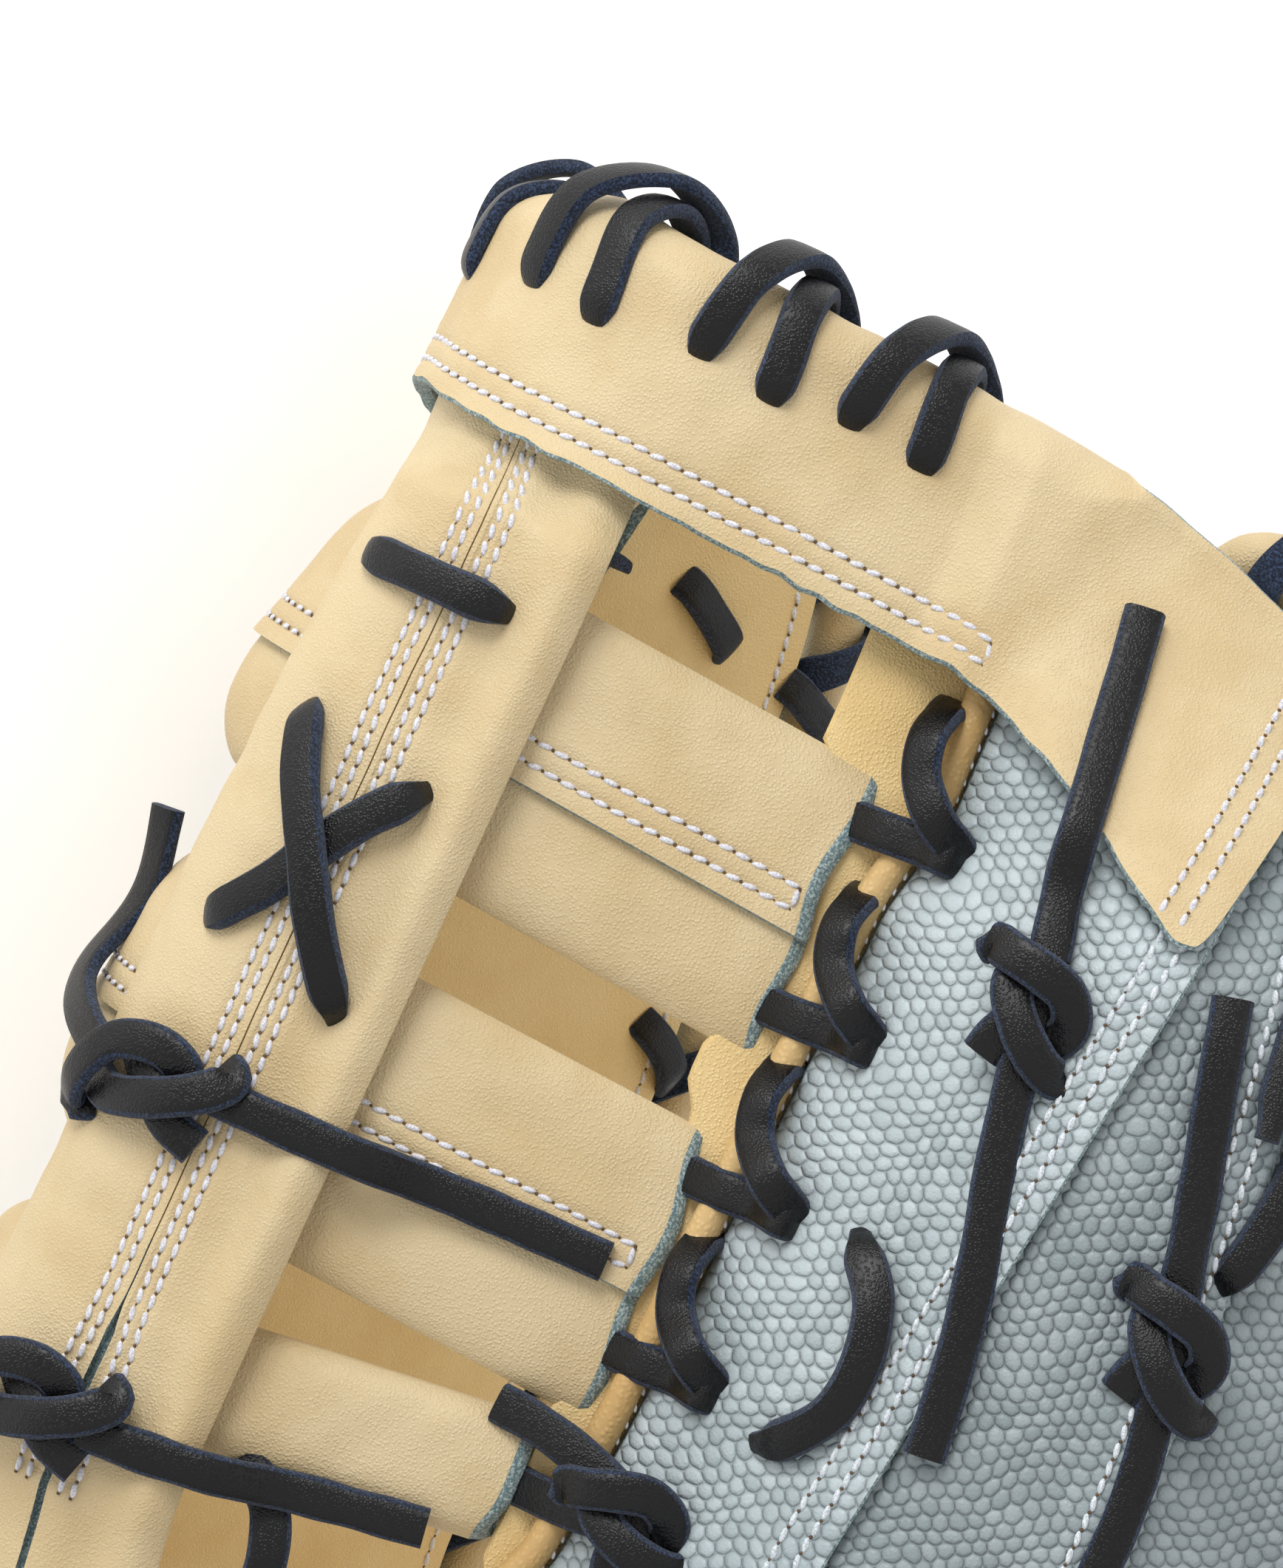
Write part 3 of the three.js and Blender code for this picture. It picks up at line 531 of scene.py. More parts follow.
    def seen(self, along: Places, aside: Places, height: Places) -> Array:
        """Place across that is seen at a distance from the axis, looking straight at the finger side.

        Args:
            along: Places along the mitt.
            aside: The distances seen.
            height: Height over the leather's middle face.

        Returns:
            Places across.
        """
        share = np.asarray(along, float) / self.sizes.length
        radius, lead = self.fold(share)
        hidden = np.clip((lead - aside) / (radius + height), -1, 0.995)
        return np.where(hidden > 0, lead - radius * np.arcsin(np.maximum(hidden, 0)), aside)

    def post_across(self, shares: Array) -> Array:
        """Places across the post, from shares of its width."""
        return self.sizes.post_width * (np.asarray(shares) - 0.5)

    def post_middle(self, along: Array) -> Array:
        """Height of the post's middle.

        Args:
            along: Places along the mitt.

        Returns:
            Heights in millimetres.
        """
        s = self.sizes
        on_bars = s.bar_thick / 2 + self.post_rise - s.post_thick / 2
        in_crown = s.post_thick / 2 - s.clear
        on_palm = s.palm_thick / 2 + s.clear + s.post_thick / 2
        raised = in_crown + (on_bars - in_crown) * ease(along, s.crown_depth, self.post_rises)
        return raised + (on_palm - on_bars) * ease(
            along, s.base_bar + s.base_bar_width / 2, s.post_end - 4)

    def post_height(self, along: Array, shares: Array, face: int) -> Array:
        """Height of one face of the post."""
        return (self.post_middle(along)[:, None]
                + face * self.sizes.post_thick * pillow(np.asarray(shares))[None, :])


def pillow(share: Array) -> Array:
    """Half thickness of a pressed roll across its width, as a share of its thickness."""
    return np.sqrt(np.maximum(1 - (2 * share - 1) ** 4 * 0.9, 0)) / 2


HIDE = Hide(SIZES)


# Meshes

class Body:
    """Closed lofted forms gathered into one mesh."""

    def __init__(self) -> None:
        """Starts with nothing in it."""
        self.points: list[Array] = []
        self.quads: list[Array] = []
        self.index: list[Array] = []
        self.uv: list[Array] = []
        self.edge: list[Array] = []
        self.count = 0

    def loft(self, rings: Array, uv: Array | None = None, bands: Array | int = 0, cap: int = 0,
             edge: Array | None = None, closed: bool = False) -> None:
        """Adds rings of equal counts, joined one to the next, with capped ends.

        Args:
            rings: Points as (ring, place in the ring, xyz), in metres.
            uv: Coordinates as (ring, place in the ring, 2).
            bands: Material of each column of faces.
            cap: Material of the ends.
            edge: How near each point is to a raw edge, from 0 to 1.
            closed: Joins the last ring to the first, in place of caps.
        """
        rows, columns = rings.shape[:2]
        grid = np.arange(rows * columns).reshape(rows, columns)
        low = grid if closed else grid[:-1]
        high = np.roll(grid, -1, axis=0) if closed else grid[1:]
        quads = np.stack([low, np.roll(low, -1, axis=1), np.roll(high, -1, axis=1), high], -1)
        quads = quads.reshape(-1, 4)
        index = np.broadcast_to(bands, (len(low), columns)).reshape(-1)
        if not closed:
            half = columns // 2
            i = np.arange(half - 1)
            start = np.stack([i, columns - 1 - i, columns - 2 - i, i + 1], -1)
            end = start[:, ::-1] + (rows - 1) * columns
            quads = np.concatenate([quads, start, end])
            index = np.concatenate([index, np.full(2 * len(i), cap)])
        flat = rings.reshape(-1, 3)
        p, q, r, t = (flat[quads[:, k]] - flat.mean(0) for k in range(4))
        volume = (p * np.cross(q, r)).sum() + (p * np.cross(r, t)).sum()
        if volume < 0:
            quads = quads[:, ::-1]
        if uv is None:
            uv = np.zeros((rows, columns, 2))
        self.points.append(flat)
        self.quads.append(quads + self.count)
        self.index.append(index)
        self.uv.append(uv.reshape(-1, 2))
        self.edge.append(np.zeros(len(flat)) if edge is None else np.asarray(edge).reshape(-1))
        self.count += len(flat)

    def make(self, name: str, sharp: float = 42) -> bpy.types.Object:
        """Turns what was gathered into an object.

        Args:
            name: The object's name.
            sharp: Angle in degrees past which an edge stays sharp.

        Returns:
            The new object.
        """
        mesh = bpy.data.meshes.new(name)
        quads = np.concatenate(self.quads)
        mesh.from_pydata(np.concatenate(self.points).tolist(), [], quads.tolist())
        mesh.polygons.foreach_set("material_index", np.concatenate(self.index).astype(np.int32))
        mesh.polygons.foreach_set("use_smooth", np.ones(len(quads), bool))
        layer = mesh.uv_layers.new(name="leather")
        layer.data.foreach_set("uv", np.concatenate(self.uv)[quads.reshape(-1)].astype(np.float32).ravel())
        edge = mesh.attributes.new("edge", "FLOAT", "POINT")
        edge.data.foreach_set("value", np.concatenate(self.edge).astype(np.float32))
        mesh.update()
        mesh.set_sharp_from_angle(angle=math.radians(sharp))
        return link(name, mesh)


def link(name: str, mesh: bpy.types.Mesh) -> bpy.types.Object:
    """Puts a mesh into the scene.

    Args:
        name: The object's name.
        mesh: Its mesh.

    Returns:
        The new object.
    """
    made = bpy.data.objects.new(name, mesh)
    bpy.context.scene.collection.objects.link(made)
    return made


def wall_rings(outer: Array, inner: Array) -> Array:
    """Rings of a wall from its outer and inner faces, with rounded edges between them.

    Args:
        outer: Points as (station, place across, xyz).
        inner: The same places on the inner face.

    Returns:
        Rings for a loft, two more points at each edge than the faces have.
    """
    lead = outer[:, 0] - outer[:, 1]
    trail = outer[:, -1] - outer[:, -2]
    rings = []
    for heading, at in ((lead, 0), (trail, -1)):
        depth = np.linalg.norm(outer[:, at] - inner[:, at], axis=-1, keepdims=True)
        push = unit(heading) * depth * 0.18
        across = inner[:, at] - outer[:, at]
        rings.append((outer[:, at] + across * 0.2 + push, inner[:, at] - across * 0.2 + push))
    (a_top, a_low), (b_top, b_low) = rings
    top = np.concatenate([a_top[:, None], outer, b_top[:, None]], 1)
    low = np.concatenate([a_low[:, None], inner, b_low[:, None]], 1)
    return np.concatenate([top, low[:, ::-1]], 1)


def wall_bands(columns: int, raw: int = 1, flesh: int = 0) -> Array:
    """Materials of a wall's columns: outer face, raw edge, inner face, raw edge.

    Args:
        columns: Places across one face, without the edges.
        raw: Material of the edges.
        flesh: Material of the inner face.

    Returns:
        One number for each column of a ring from wall_rings.
    """
    count = columns + 2
    bands = np.zeros(2 * count, int)
    bands[count:] = flesh
    for at in (0, count - 2, count - 1, count, 2 * count - 2, 2 * count - 1):
        bands[at] = raw
    return bands


def wall_values(face: Array) -> Array:
    """Values of a wall's ring points, from those of one face."""
    padded = np.concatenate([face[:, :1], face, face[:, -1:]], 1)
    return np.concatenate([padded, padded[:, ::-1]], 1)


def round_rings(points: Array, first: Array, second: Array, radius: Places, sides: int) -> Array:
    """Rings of a roll round a centreline.

    Args:
        points: The centreline in metres.
        first: One direction across the roll at each point.
        second: The direction square to it.
        radius: The roll's radius in millimetres.
        sides: How many points a ring has.

    Returns:
        Points as (ring, place in the ring, xyz).
    """
    angle = np.linspace(0, 2 * math.pi, sides, endpoint=False)
    x, y = np.cos(angle) * radius, np.sin(angle) * radius
    return points[:, None] + (first[:, None] * x[..., None] + second[:, None] * y[..., None]) * MM


@dataclass(frozen=True)
class Puff:
    """Unevenness of leather in long and short waves, in millimetres."""

    high: float
    long: float
    low: float
    short: float
    seed: int
    next_seed: int = 1

    def at(self, spots: Array) -> Array:
        """The height that it adds at spots on the leather."""
        broad = self.high * ripple(spots, self.long, self.seed)
        return broad + self.low * ripple(spots, self.short, self.seed + self.next_seed)


# Half of a lace's width and thickness are one: the grain side is the rounded one.
LACE_SECTION = np.array([
    (-1, -0.1), (-0.93, 0.45), (-0.8, 0.9), (-0.45, 1.06), (0, 1.1), (0.45, 1.06), (0.8, 0.9),
    (0.93, 0.45), (1, -0.1), (1, -0.5), (0.92, -0.9), (0.7, -1), (0.3, -1), (0, -1), (-0.3, -1), (-0.7, -1),
    (-0.92, -0.9), (-1, -0.5)])
# The grain's finish is 0, and the cut edges' and flesh side's is 1.
LACE_BANDS = np.array([1, 1, 0, 0, 0, 0, 1, 1, 1, 1, 1, 1, 1, 1, 1, 1, 1, 1])


def add_lace(body: Body, points: Array, side: Array, width: Places | None = None,
             thick: Places | None = None, seed: int = 0) -> None:
    """Adds a flat lace to a body.

    Args:
        body: What it is added to.
        points: Its centreline in metres.
        side: The direction of its width at each point.
        width: Its width in millimetres.
        thick: Its thickness in millimetres.
        seed: Fixes its unevenness.
    """
    count = len(points)
    width = np.broadcast_to(SIZES.lace_width if width is None else width, count)
    thick = np.broadcast_to(SIZES.lace_thick if thick is None else thick, count)
    forward = unit(np.gradient(points, axis=0))
    wide = unit(side - forward * (side * forward).sum(1, keepdims=True))
    deep = np.cross(wide, forward)
    run = np.concatenate([[0], np.cumsum(np.linalg.norm(np.diff(points, axis=0), axis=1))]) / MM
    uneven = 1 + 0.035 * ripple(np.stack([run, run * 0], 1), 9, seed + 11)
    x = LACE_SECTION[:, 0] * (width * uneven / 2)[:, None]
    y = LACE_SECTION[:, 1] * (thick / 2)[:, None]
    rings = points[:, None] + (wide[:, None] * x[..., None] + deep[:, None] * y[..., None]) * MM
    body.loft(rings, np.stack([np.broadcast_to(run[:, None], x.shape), x], -1), LACE_BANDS, 1)


def smooth_columns(rows: Array, rounds: int = 2) -> Array:
    """Rows averaged with their neighbours.

    Args:
        rows: The rows.
        rounds: How many times they are averaged.

    Returns:
        As many rows, with the first and last kept.
    """
    for _ in range(rounds):
        rows = np.concatenate([rows[:1], (rows[:-2] + 2 * rows[1:-1] + rows[2:]) / 4, rows[-1:]])
    return rows


def strand(route: Sequence[Sequence[float]], lay: Lay = Lay.FLAT, on: Callable | None = None,
           step: float = 0.7) -> tuple[Array, Array]:
    """Centreline and width direction of a lace.

    Args:
        route: Chosen points as (along, across, lift, roll): lift in millimetres over what is under
            the lace, roll in degrees about its own run.
        lay: How the width is turned.
        on: Height of what is under it, as a function of along and across.
        step: Distance between points in millimetres.

    Returns:
        Points in metres and unit directions.
    """
    rows = np.array(route, float)
    if rows.shape[1] == 3:
        rows = np.hstack([rows, np.zeros((len(rows), 1))])
    if on is not None:
        rows[:, 2] += on(rows[:, 0], rows[:, 1])
    rows = evenly(rows, step)
    points = HIDE.place(rows[:, 0], rows[:, 1], rows[:, 2])
    _, fingerward, out = HIDE.directions(rows[:, 0], rows[:, 1])
    forward = unit(np.gradient(points, axis=0))
    if lay is Lay.FLAT:
        blend = np.cross(forward, out)
        weak = np.linalg.norm(blend, axis=1) < 0.25
        if weak.any():
            index = np.arange(len(blend))
            for k in range(3):
                blend[weak, k] = np.interp(index[weak], index[~weak], blend[~weak, k])
        side = unit(blend)
    else:
        side = unit(fingerward - forward * (fingerward * forward).sum(1, keepdims=True))
    normal = np.cross(side, forward)
    turn = np.radians(rows[:, 3])[:, None]
    return points, side * np.cos(turn) + normal * np.sin(turn)


def lying_height(along: Array, across: Array) -> Array:
    """Height of a lace's middle where it lies on the mitt, as its solid has it."""
    under = np.max([HIDE.over_crown(along, across + step) for step in (-2, 0, 2)], axis=0)
    return under + 2 * SIZES.clear + SIZES.lace_thick / 2


# Finishes

class Nodes:
    """Builds a node tree in few words."""

    def __init__(self, tree: bpy.types.NodeTree) -> None:
        """Takes the tree to build in."""
        self.tree = tree

    def add(self, kind: str, feeds: dict[int | str, Any] | None = None, **settings: Any) -> Node:
        """Adds a node.

        Args:
            kind: Blender's name of the node.
            feeds: Values or sockets for its inputs, by name or place.
            settings: Values for its properties.

        Returns:
            The node.
        """
        node = self.tree.nodes.new(kind)
        for key, value in settings.items():
            setattr(node, key, value)
        for key, value in (feeds or {}).items():
            if isinstance(value, Socket):
                self.tree.links.new(value, node.inputs[key])
            else:
                node.inputs[key].default_value = value
        return node

    def math(self, operation: str, *values: Any) -> Socket:
        """A sum of values or sockets."""
        return self.add("ShaderNodeMath", dict(enumerate(values)), operation=operation).outputs[0]

    def times(self, first: Any, second: Any) -> Socket:
        """Two values multiplied."""
        return self.math("MULTIPLY", first, second)

    def vector(self, operation: str, *values: Any) -> Socket:
        """A vector maths node's output."""
        return self.add("ShaderNodeVectorMath", dict(enumerate(values)), operation=operation).outputs[0]

    def blend(self, share: Any, first: Any, second: Any) -> Socket:
        """Two vectors mixed."""
        return self.add("ShaderNodeMix", {0: share, 4: first, 5: second}, data_type="VECTOR").outputs[1]

    def ramp(self, value: Any, low: float, high: float, to_low: float = 0, to_high: float = 1) -> Socket:
        """A value moved smoothly from one range to another."""
        feeds = {0: value, 1: low, 2: high, 3: to_low, 4: to_high}
        return self.add("ShaderNodeMapRange", feeds, interpolation_type="SMOOTHSTEP").outputs[0]

    def mix(self, share: Any, first: Any, second: Any) -> Socket:
        """Two colours mixed."""
        return self.add("ShaderNodeMix", {0: share, 6: first, 7: second}, data_type="RGBA").outputs[2]

    def noise(self, vector: Any, scale: float, detail: float = 2, distort: float = 0) -> Socket:
        """Cloudy noise."""
        feeds = {"Vector": vector, "Scale": scale, "Detail": detail, "Distortion": distort}
        return self.add("ShaderNodeTexNoise", feeds).outputs[0]


def colour(red: int, green: int, blue: int) -> tuple[float, float, float, float]:
    """A colour from its screen values, 0 to 255.

    Args:
        red: Red.
        green: Green.
        blue: Blue.

    Returns:
        Linear red, green, blue and 1.
    """
    lin = [c / 255 / 12.92 if c <= 10 else ((c / 255 + 0.055) / 1.055) ** 2.4
           for c in (red, green, blue)]
    return (*lin, 1.0)


def shader_group(name: str, inputs: Sequence[tuple[str, str]], outputs: Sequence[tuple[str, str]],
                 build: Callable) -> bpy.types.NodeTree:
    """Makes a shared effect once.

    Args:
        name: The effect's name.
        inputs: Its inputs' names and kinds.
        outputs: Its outputs' names and kinds.
        build: Fills the tree from its Nodes and the input node, and returns the outputs.

    Returns:
        The node group.
    """
    tree = bpy.data.node_groups.new(name, "ShaderNodeTree")
    for label, kind in inputs:
        tree.interface.new_socket(label, in_out="INPUT", socket_type=kind)
    for label, kind in outputs:
        tree.interface.new_socket(label, in_out="OUTPUT", socket_type=kind)
    nodes = Nodes(tree)
    given = tree.nodes.new("NodeGroupInput")
    result = tree.nodes.new("NodeGroupOutput")
    for at, socket in enumerate(build(nodes, given)):
        tree.links.new(socket, result.inputs[at])
    return tree


FLOAT, VECTOR = "NodeSocketFloat", "NodeSocketVector"


def grain_effect(nodes: Nodes, given: Node) -> tuple:
    """Pebbled grain with creases: cells of the given size, their height and the dark between them.

    Args:
        nodes: Builder of the group's tree.
        given: The group's inputs: a place and a size.

    Returns:
        Sockets of the height, the pores and the creases.
    """
    vector, cell = given.outputs[0], given.outputs[1]
    scale = nodes.math("DIVIDE", 1, cell)
    bent = nodes.add("ShaderNodeTexNoise", {"Vector": vector, "Scale": nodes.times(scale, 0.6)})
    moved = nodes.blend(0.16, vector, bent.outputs[1])
    cells = nodes.add("ShaderNodeTexVoronoi", {"Vector": vector, "Scale": scale, "Randomness": 0.9})
    pebble = nodes.ramp(cells.outputs[0], 0.62, 0.1)
    fine = nodes.noise(moved, 2.6, 3)
    soft = nodes.noise(vector, 0.35, 2)
    crease = nodes.math("ABSOLUTE", nodes.math("SUBTRACT", nodes.noise(vector, 0.42, 3, 0.6), 0.5))
    crease = nodes.times(nodes.ramp(crease, 0.028, 0.0), nodes.ramp(soft, 0.5, 0.68))
    height = nodes.math("ADD", nodes.times(pebble, 0.7), nodes.times(fine, 0.3))
    height = nodes.math("SUBTRACT", height, nodes.times(crease, 0.12))
    pores = nodes.math("MAXIMUM", nodes.math("SUBTRACT", 1, pebble), nodes.times(crease, 0.15))
    return height, pores, crease


def scale_effect(nodes: Nodes, given: Node) -> tuple:
    """Embossed scales on an uneven six-sided lattice: domes, the grooves between them and each one's tone.

    Args:
        nodes: Builder of the group's tree.
        given: The group's inputs: a place and a size.

    Returns:
        Sockets of the domes, the grooves and the tone.
    """
    vector, size = given.outputs[0], given.outputs[1]
    scale = nodes.math("DIVIDE", 1, size)
    stretch = nodes.add("ShaderNodeTexNoise", {"Vector": vector, "Scale": nodes.times(scale, 0.2)})
    offset = nodes.vector("SUBTRACT", stretch.outputs[1], (0.5, 0.5, 0.5))
    offset = nodes.vector("MULTIPLY", offset, (1.7, 1.7, 0))
    spot = nodes.add("ShaderNodeVectorMath", {0: vector, 3: scale}, operation="SCALE").outputs[0]
    spot = nodes.vector("ADD", nodes.vector("MULTIPLY", spot, (1, 1, 0)), offset)
    pitch = (1, math.sqrt(3), 1)
    found = []
    for start in ((0, 0, 0), (0.5, math.sqrt(3) / 2, 0)):
        moved = nodes.vector("ADD", spot, tuple(400 * p + q for p, q in zip(pitch, start)))
        cell = nodes.vector("MODULO", moved, pitch)
        cell = nodes.vector("SUBTRACT", cell, (0.5, math.sqrt(3) / 2, 0))
        parts = nodes.add("ShaderNodeSeparateXYZ", {0: nodes.vector("ABSOLUTE", cell)})
        slant = nodes.math("ADD", nodes.times(parts.outputs[0], 0.5),
                           nodes.times(parts.outputs[1], math.sqrt(0.75)))
        flat = nodes.math("MAXIMUM", parts.outputs[0], slant)
        level = nodes.vector("MULTIPLY", cell, (1, 1, 0))
        circle = nodes.add("ShaderNodeVectorMath", {0: level}, operation="LENGTH").outputs[1]
        reach = nodes.math("ADD", nodes.times(flat, 0.55), nodes.times(circle, 0.45))
        found.append((reach, nodes.vector("SUBTRACT", spot, cell)))
    reach = nodes.math("MINIMUM", found[0][0], found[1][0])
    first = nodes.math("LESS_THAN", found[0][0], found[1][0])
    centre = nodes.vector("SNAP", nodes.blend(first, found[1][1], found[0][1]), (0.5, 0.433, 1))
    tone = nodes.add("ShaderNodeTexWhiteNoise", {0: centre}).outputs[0]
    fall = nodes.math("POWER", nodes.times(reach, 2), 2.8)
    dome = nodes.math("POWER", nodes.math("MAXIMUM", nodes.math("SUBTRACT", 1, fall), 0), 0.7)
    return dome, nodes.ramp(reach, 0.4, 0.5), tone


def fibre_effect(nodes: Nodes, given: Node) -> tuple:
    """Torn fibre of cut leather: its height and a mask of pale strands.

    Args:
        nodes: Builder of the group's tree.
        given: The group's inputs: a place and a size.

    Returns:
        Sockets of the height and the strands.
    """
    vector, size = given.outputs[0], given.outputs[1]
    scale = nodes.math("DIVIDE", 1, size)
    rough = nodes.add("ShaderNodeTexNoise", {"Vector": vector, "Scale": scale, "Detail": 4, "Roughness": 0.7})
    clump = nodes.add("ShaderNodeTexNoise", {"Vector": vector, "Scale": nodes.times(scale, 0.27)})
    height = nodes.math("ADD", rough.outputs[0], nodes.times(clump.outputs[0], 0.7))
    return height, nodes.ramp(rough.outputs[0], 0.44, 0.62)


class Effects:
    """The shared effects, built once."""

    def __init__(self) -> None:
        """Builds each effect's node group."""
        given = (("Vector", VECTOR), ("Size", FLOAT))
        self.grain = shader_group("pebbled_grain", given, (
            ("Height", FLOAT), ("Pores", FLOAT), ("Crease", FLOAT)), grain_effect)
        self.scales = shader_group("scale_emboss", given, (
            ("Height", FLOAT), ("Groove", FLOAT), ("Tone", FLOAT)), scale_effect)
        self.fibre = shader_group("cut_fibre", given, (("Height", FLOAT), ("Strands", FLOAT)), fibre_effect)


@dataclass(frozen=True)
class Finish(ABC):
    """A surface finish that makes one material."""

    name: str

    def material(self, effects: Effects) -> bpy.types.Material:
        """The finish's material, made the first time it is asked for.

        Args:
            effects: The shared effects.

        Returns:
            The material.
        """
        found = bpy.data.materials.get(self.name)
        if found is None:
            found = bpy.data.materials.new(self.name)
            found.use_nodes = True
            found.node_tree.nodes.clear()
            nodes = Nodes(found.node_tree)
            shader = nodes.add("ShaderNodeBsdfPrincipled")
            place = nodes.add("ShaderNodeTexCoord")
            feeds = {0: place.outputs["Object"], 3: 1 / MM}
            grown = nodes.add("ShaderNodeVectorMath", feeds, operation="SCALE").outputs[0]
            self.build(nodes, shader, grown, place.outputs["UV"], effects)
            nodes.add("ShaderNodeOutputMaterial", {0: shader.outputs[0]})
        return found

    @abstractmethod
    def build(self, nodes: Nodes, shader: Node, spot: Socket, uv: Socket, effects: Effects) -> None:
        """Feeds the shader.

        Args:
            nodes: Builder of the material's tree.
            shader: The Principled shader.
            spot: Place on the object in millimetres.
            uv: The piece's own map in millimetres.
            effects: The shared effects.
        """

    def feed(self, nodes: Nodes, shader: Node, base: Socket, rough: Socket, height: Socket,
             depth: float) -> None:
        """Joins colour, roughness and a bump to the shader.

        Args:
            nodes: Builder of the material's tree.
            shader: The Principled shader.
            base: The colour.
            rough: The roughness.
            height: The bump's height, from 0 to 1.
            depth: What a height of 1 is in millimetres.
        """
        bump = nodes.add("ShaderNodeBump", {"Height": height, "Distance": depth * MM, "Strength": 1.0})
        for value, socket in ((base, "Base Color"), (rough, "Roughness"), (bump.outputs[0], "Normal")):
            nodes.tree.links.new(value, shader.inputs[socket])


@dataclass(frozen=True)
class SmoothLeather(Finish):
    """Full-grain leather with fine pebbles, creases and clouded colour."""

    light: tuple
    dark: tuple
    pore: tuple
    cell: float = 0.38
    depth: float = 0.1
    gloss: float = 0.43
    shine: float = 0.42
    pore_share: float = 0.2
    clouds: float = 0.055
    mottle: float = 0.5

    def build(self, nodes: Nodes, shader: Node, spot: Socket, uv: Socket, effects: Effects) -> None:
        """Feeds the shader.

        Args:
            nodes: Builder of the material's tree.
            shader: The Principled shader.
            spot: Place on the object in millimetres.
            uv: The piece's own map in millimetres; not used.
            effects: The shared effects.
        """
        grain = nodes.add("ShaderNodeGroup", node_tree=effects.grain)
        nodes.tree.links.new(spot, grain.inputs[0])
        grain.inputs[1].default_value = self.cell
        cloud = nodes.noise(spot, self.clouds, 3)
        small = nodes.noise(spot, self.mottle, 2)
        share = nodes.math("ADD", nodes.times(cloud, 0.88), nodes.times(small, 0.12))
        base = nodes.mix(nodes.ramp(share, 0.35, 0.66), self.light, self.dark)
        base = nodes.mix(nodes.times(grain.outputs[1], self.pore_share), base, self.pore)
        worn = nodes.add("ShaderNodeAttribute", attribute_name="edge").outputs[2]
        worn = nodes.times(worn, nodes.ramp(small, 0.3, 0.7, 0.25, 0.7))
        base = nodes.mix(worn, base, self.dark)
        rough = nodes.ramp(grain.outputs[0], 0.0, 1.0, self.gloss + 0.14, self.gloss)
        self.feed(nodes, shader, base, rough, grain.outputs[0], self.depth)
        shader.inputs["Specular IOR Level"].default_value = self.shine


@dataclass(frozen=True)
class ScaledLeather(Finish):
    """Leather embossed with small rounded scales, with painted shade in the grooves between them."""

    light: tuple
    dark: tuple
    # Colour of the grooves between the scales: painted shade in the recesses.
    groove: tuple
    size: float = 1.95
    depth: float = 0.46
    groove_shade_share: float = 0.26
    clouds: float = 0.05
    grain_cell: float = 0.4
    shine: float = 0.45

    def build(self, nodes: Nodes, shader: Node, spot: Socket, uv: Socket, effects: Effects) -> None:
        """Feeds the shader.

        Args:
            nodes: Builder of the material's tree.
            shader: The Principled shader.
            spot: Place on the object in millimetres.
            uv: The piece's own map in millimetres.
            effects: The shared effects.
        """
        scales = nodes.add("ShaderNodeGroup", node_tree=effects.scales)
        grain = nodes.add("ShaderNodeGroup", node_tree=effects.grain)
        nodes.tree.links.new(uv, scales.inputs[0])
        scales.inputs[1].default_value = self.size
        nodes.tree.links.new(spot, grain.inputs[0])
        grain.inputs[1].default_value = self.grain_cell
        cloud = nodes.noise(spot, self.clouds, 3)
        tone = nodes.math("ADD", nodes.times(cloud, 0.7), nodes.times(scales.outputs[2], 0.3))
        base = nodes.mix(nodes.ramp(tone, 0.3, 0.7), self.light, self.dark)
        # The grooves are darkened in colour: painted shade.
        base = nodes.mix(nodes.times(scales.outputs[1], self.groove_shade_share), base, self.groove)
        height = nodes.math("ADD", scales.outputs[0], nodes.times(grain.outputs[0], 0.1))
        rough = nodes.ramp(scales.outputs[1], 0, 1, 0.43, 0.6)
        self.feed(nodes, shader, base, rough, height, self.depth)
        shader.inputs["Specular IOR Level"].default_value = self.shine


@dataclass(frozen=True)
class CutLeather(Finish):
    """Raw cut edge or flesh side, with torn fibre."""

    pale: tuple
    deep: tuple
    size: float = 0.35
    depth: float = 0.3
    rough: float = 0.9
    shine: float = 0.2
    sheen: float = 0.15

    def build(self, nodes: Nodes, shader: Node, spot: Socket, uv: Socket, effects: Effects) -> None:
        """Feeds the shader.

        Args:
            nodes: Builder of the material's tree.
            shader: The Principled shader.
            spot: Place on the object in millimetres.
            uv: The piece's own map in millimetres; not used.
            effects: The shared effects.
        """
        fibre = nodes.add("ShaderNodeGroup", node_tree=effects.fibre)
        nodes.tree.links.new(spot, fibre.inputs[0])
        fibre.inputs[1].default_value = self.size
        base = nodes.mix(fibre.outputs[1], self.deep, self.pale)
        rough = nodes.ramp(fibre.outputs[1], 0, 1, self.rough, self.rough - 0.1)
        self.feed(nodes, shader, base, rough, fibre.outputs[0], self.depth)
        shader.inputs["Specular IOR Level"].default_value = self.shine
        shader.inputs["Sheen Weight"].default_value = self.sheen


@dataclass(frozen=True)
class Thread(Finish):
    """Twisted thread, or the painted shade in a needle hole."""

    light: tuple
    shade: tuple
    twist: float = 4.5
    depth: float = 0.05

    def build(self, nodes: Nodes, shader: Node, spot: Socket, uv: Socket, effects: Effects) -> None:
        """Feeds the shader.

        Args:
            nodes: Builder of the material's tree.
            shader: The Principled shader.
            spot: Place on the object in millimetres.
            uv: The piece's own map in millimetres; not used.
            effects: The shared effects; not used.
        """
        strands = nodes.noise(spot, self.twist, 2)
        base = nodes.mix(nodes.ramp(strands, 0.3, 0.65), self.shade, self.light)
        rough = nodes.ramp(strands, 0, 1, 0.62, 0.8)
        self.feed(nodes, shader, base, rough, strands, self.depth)


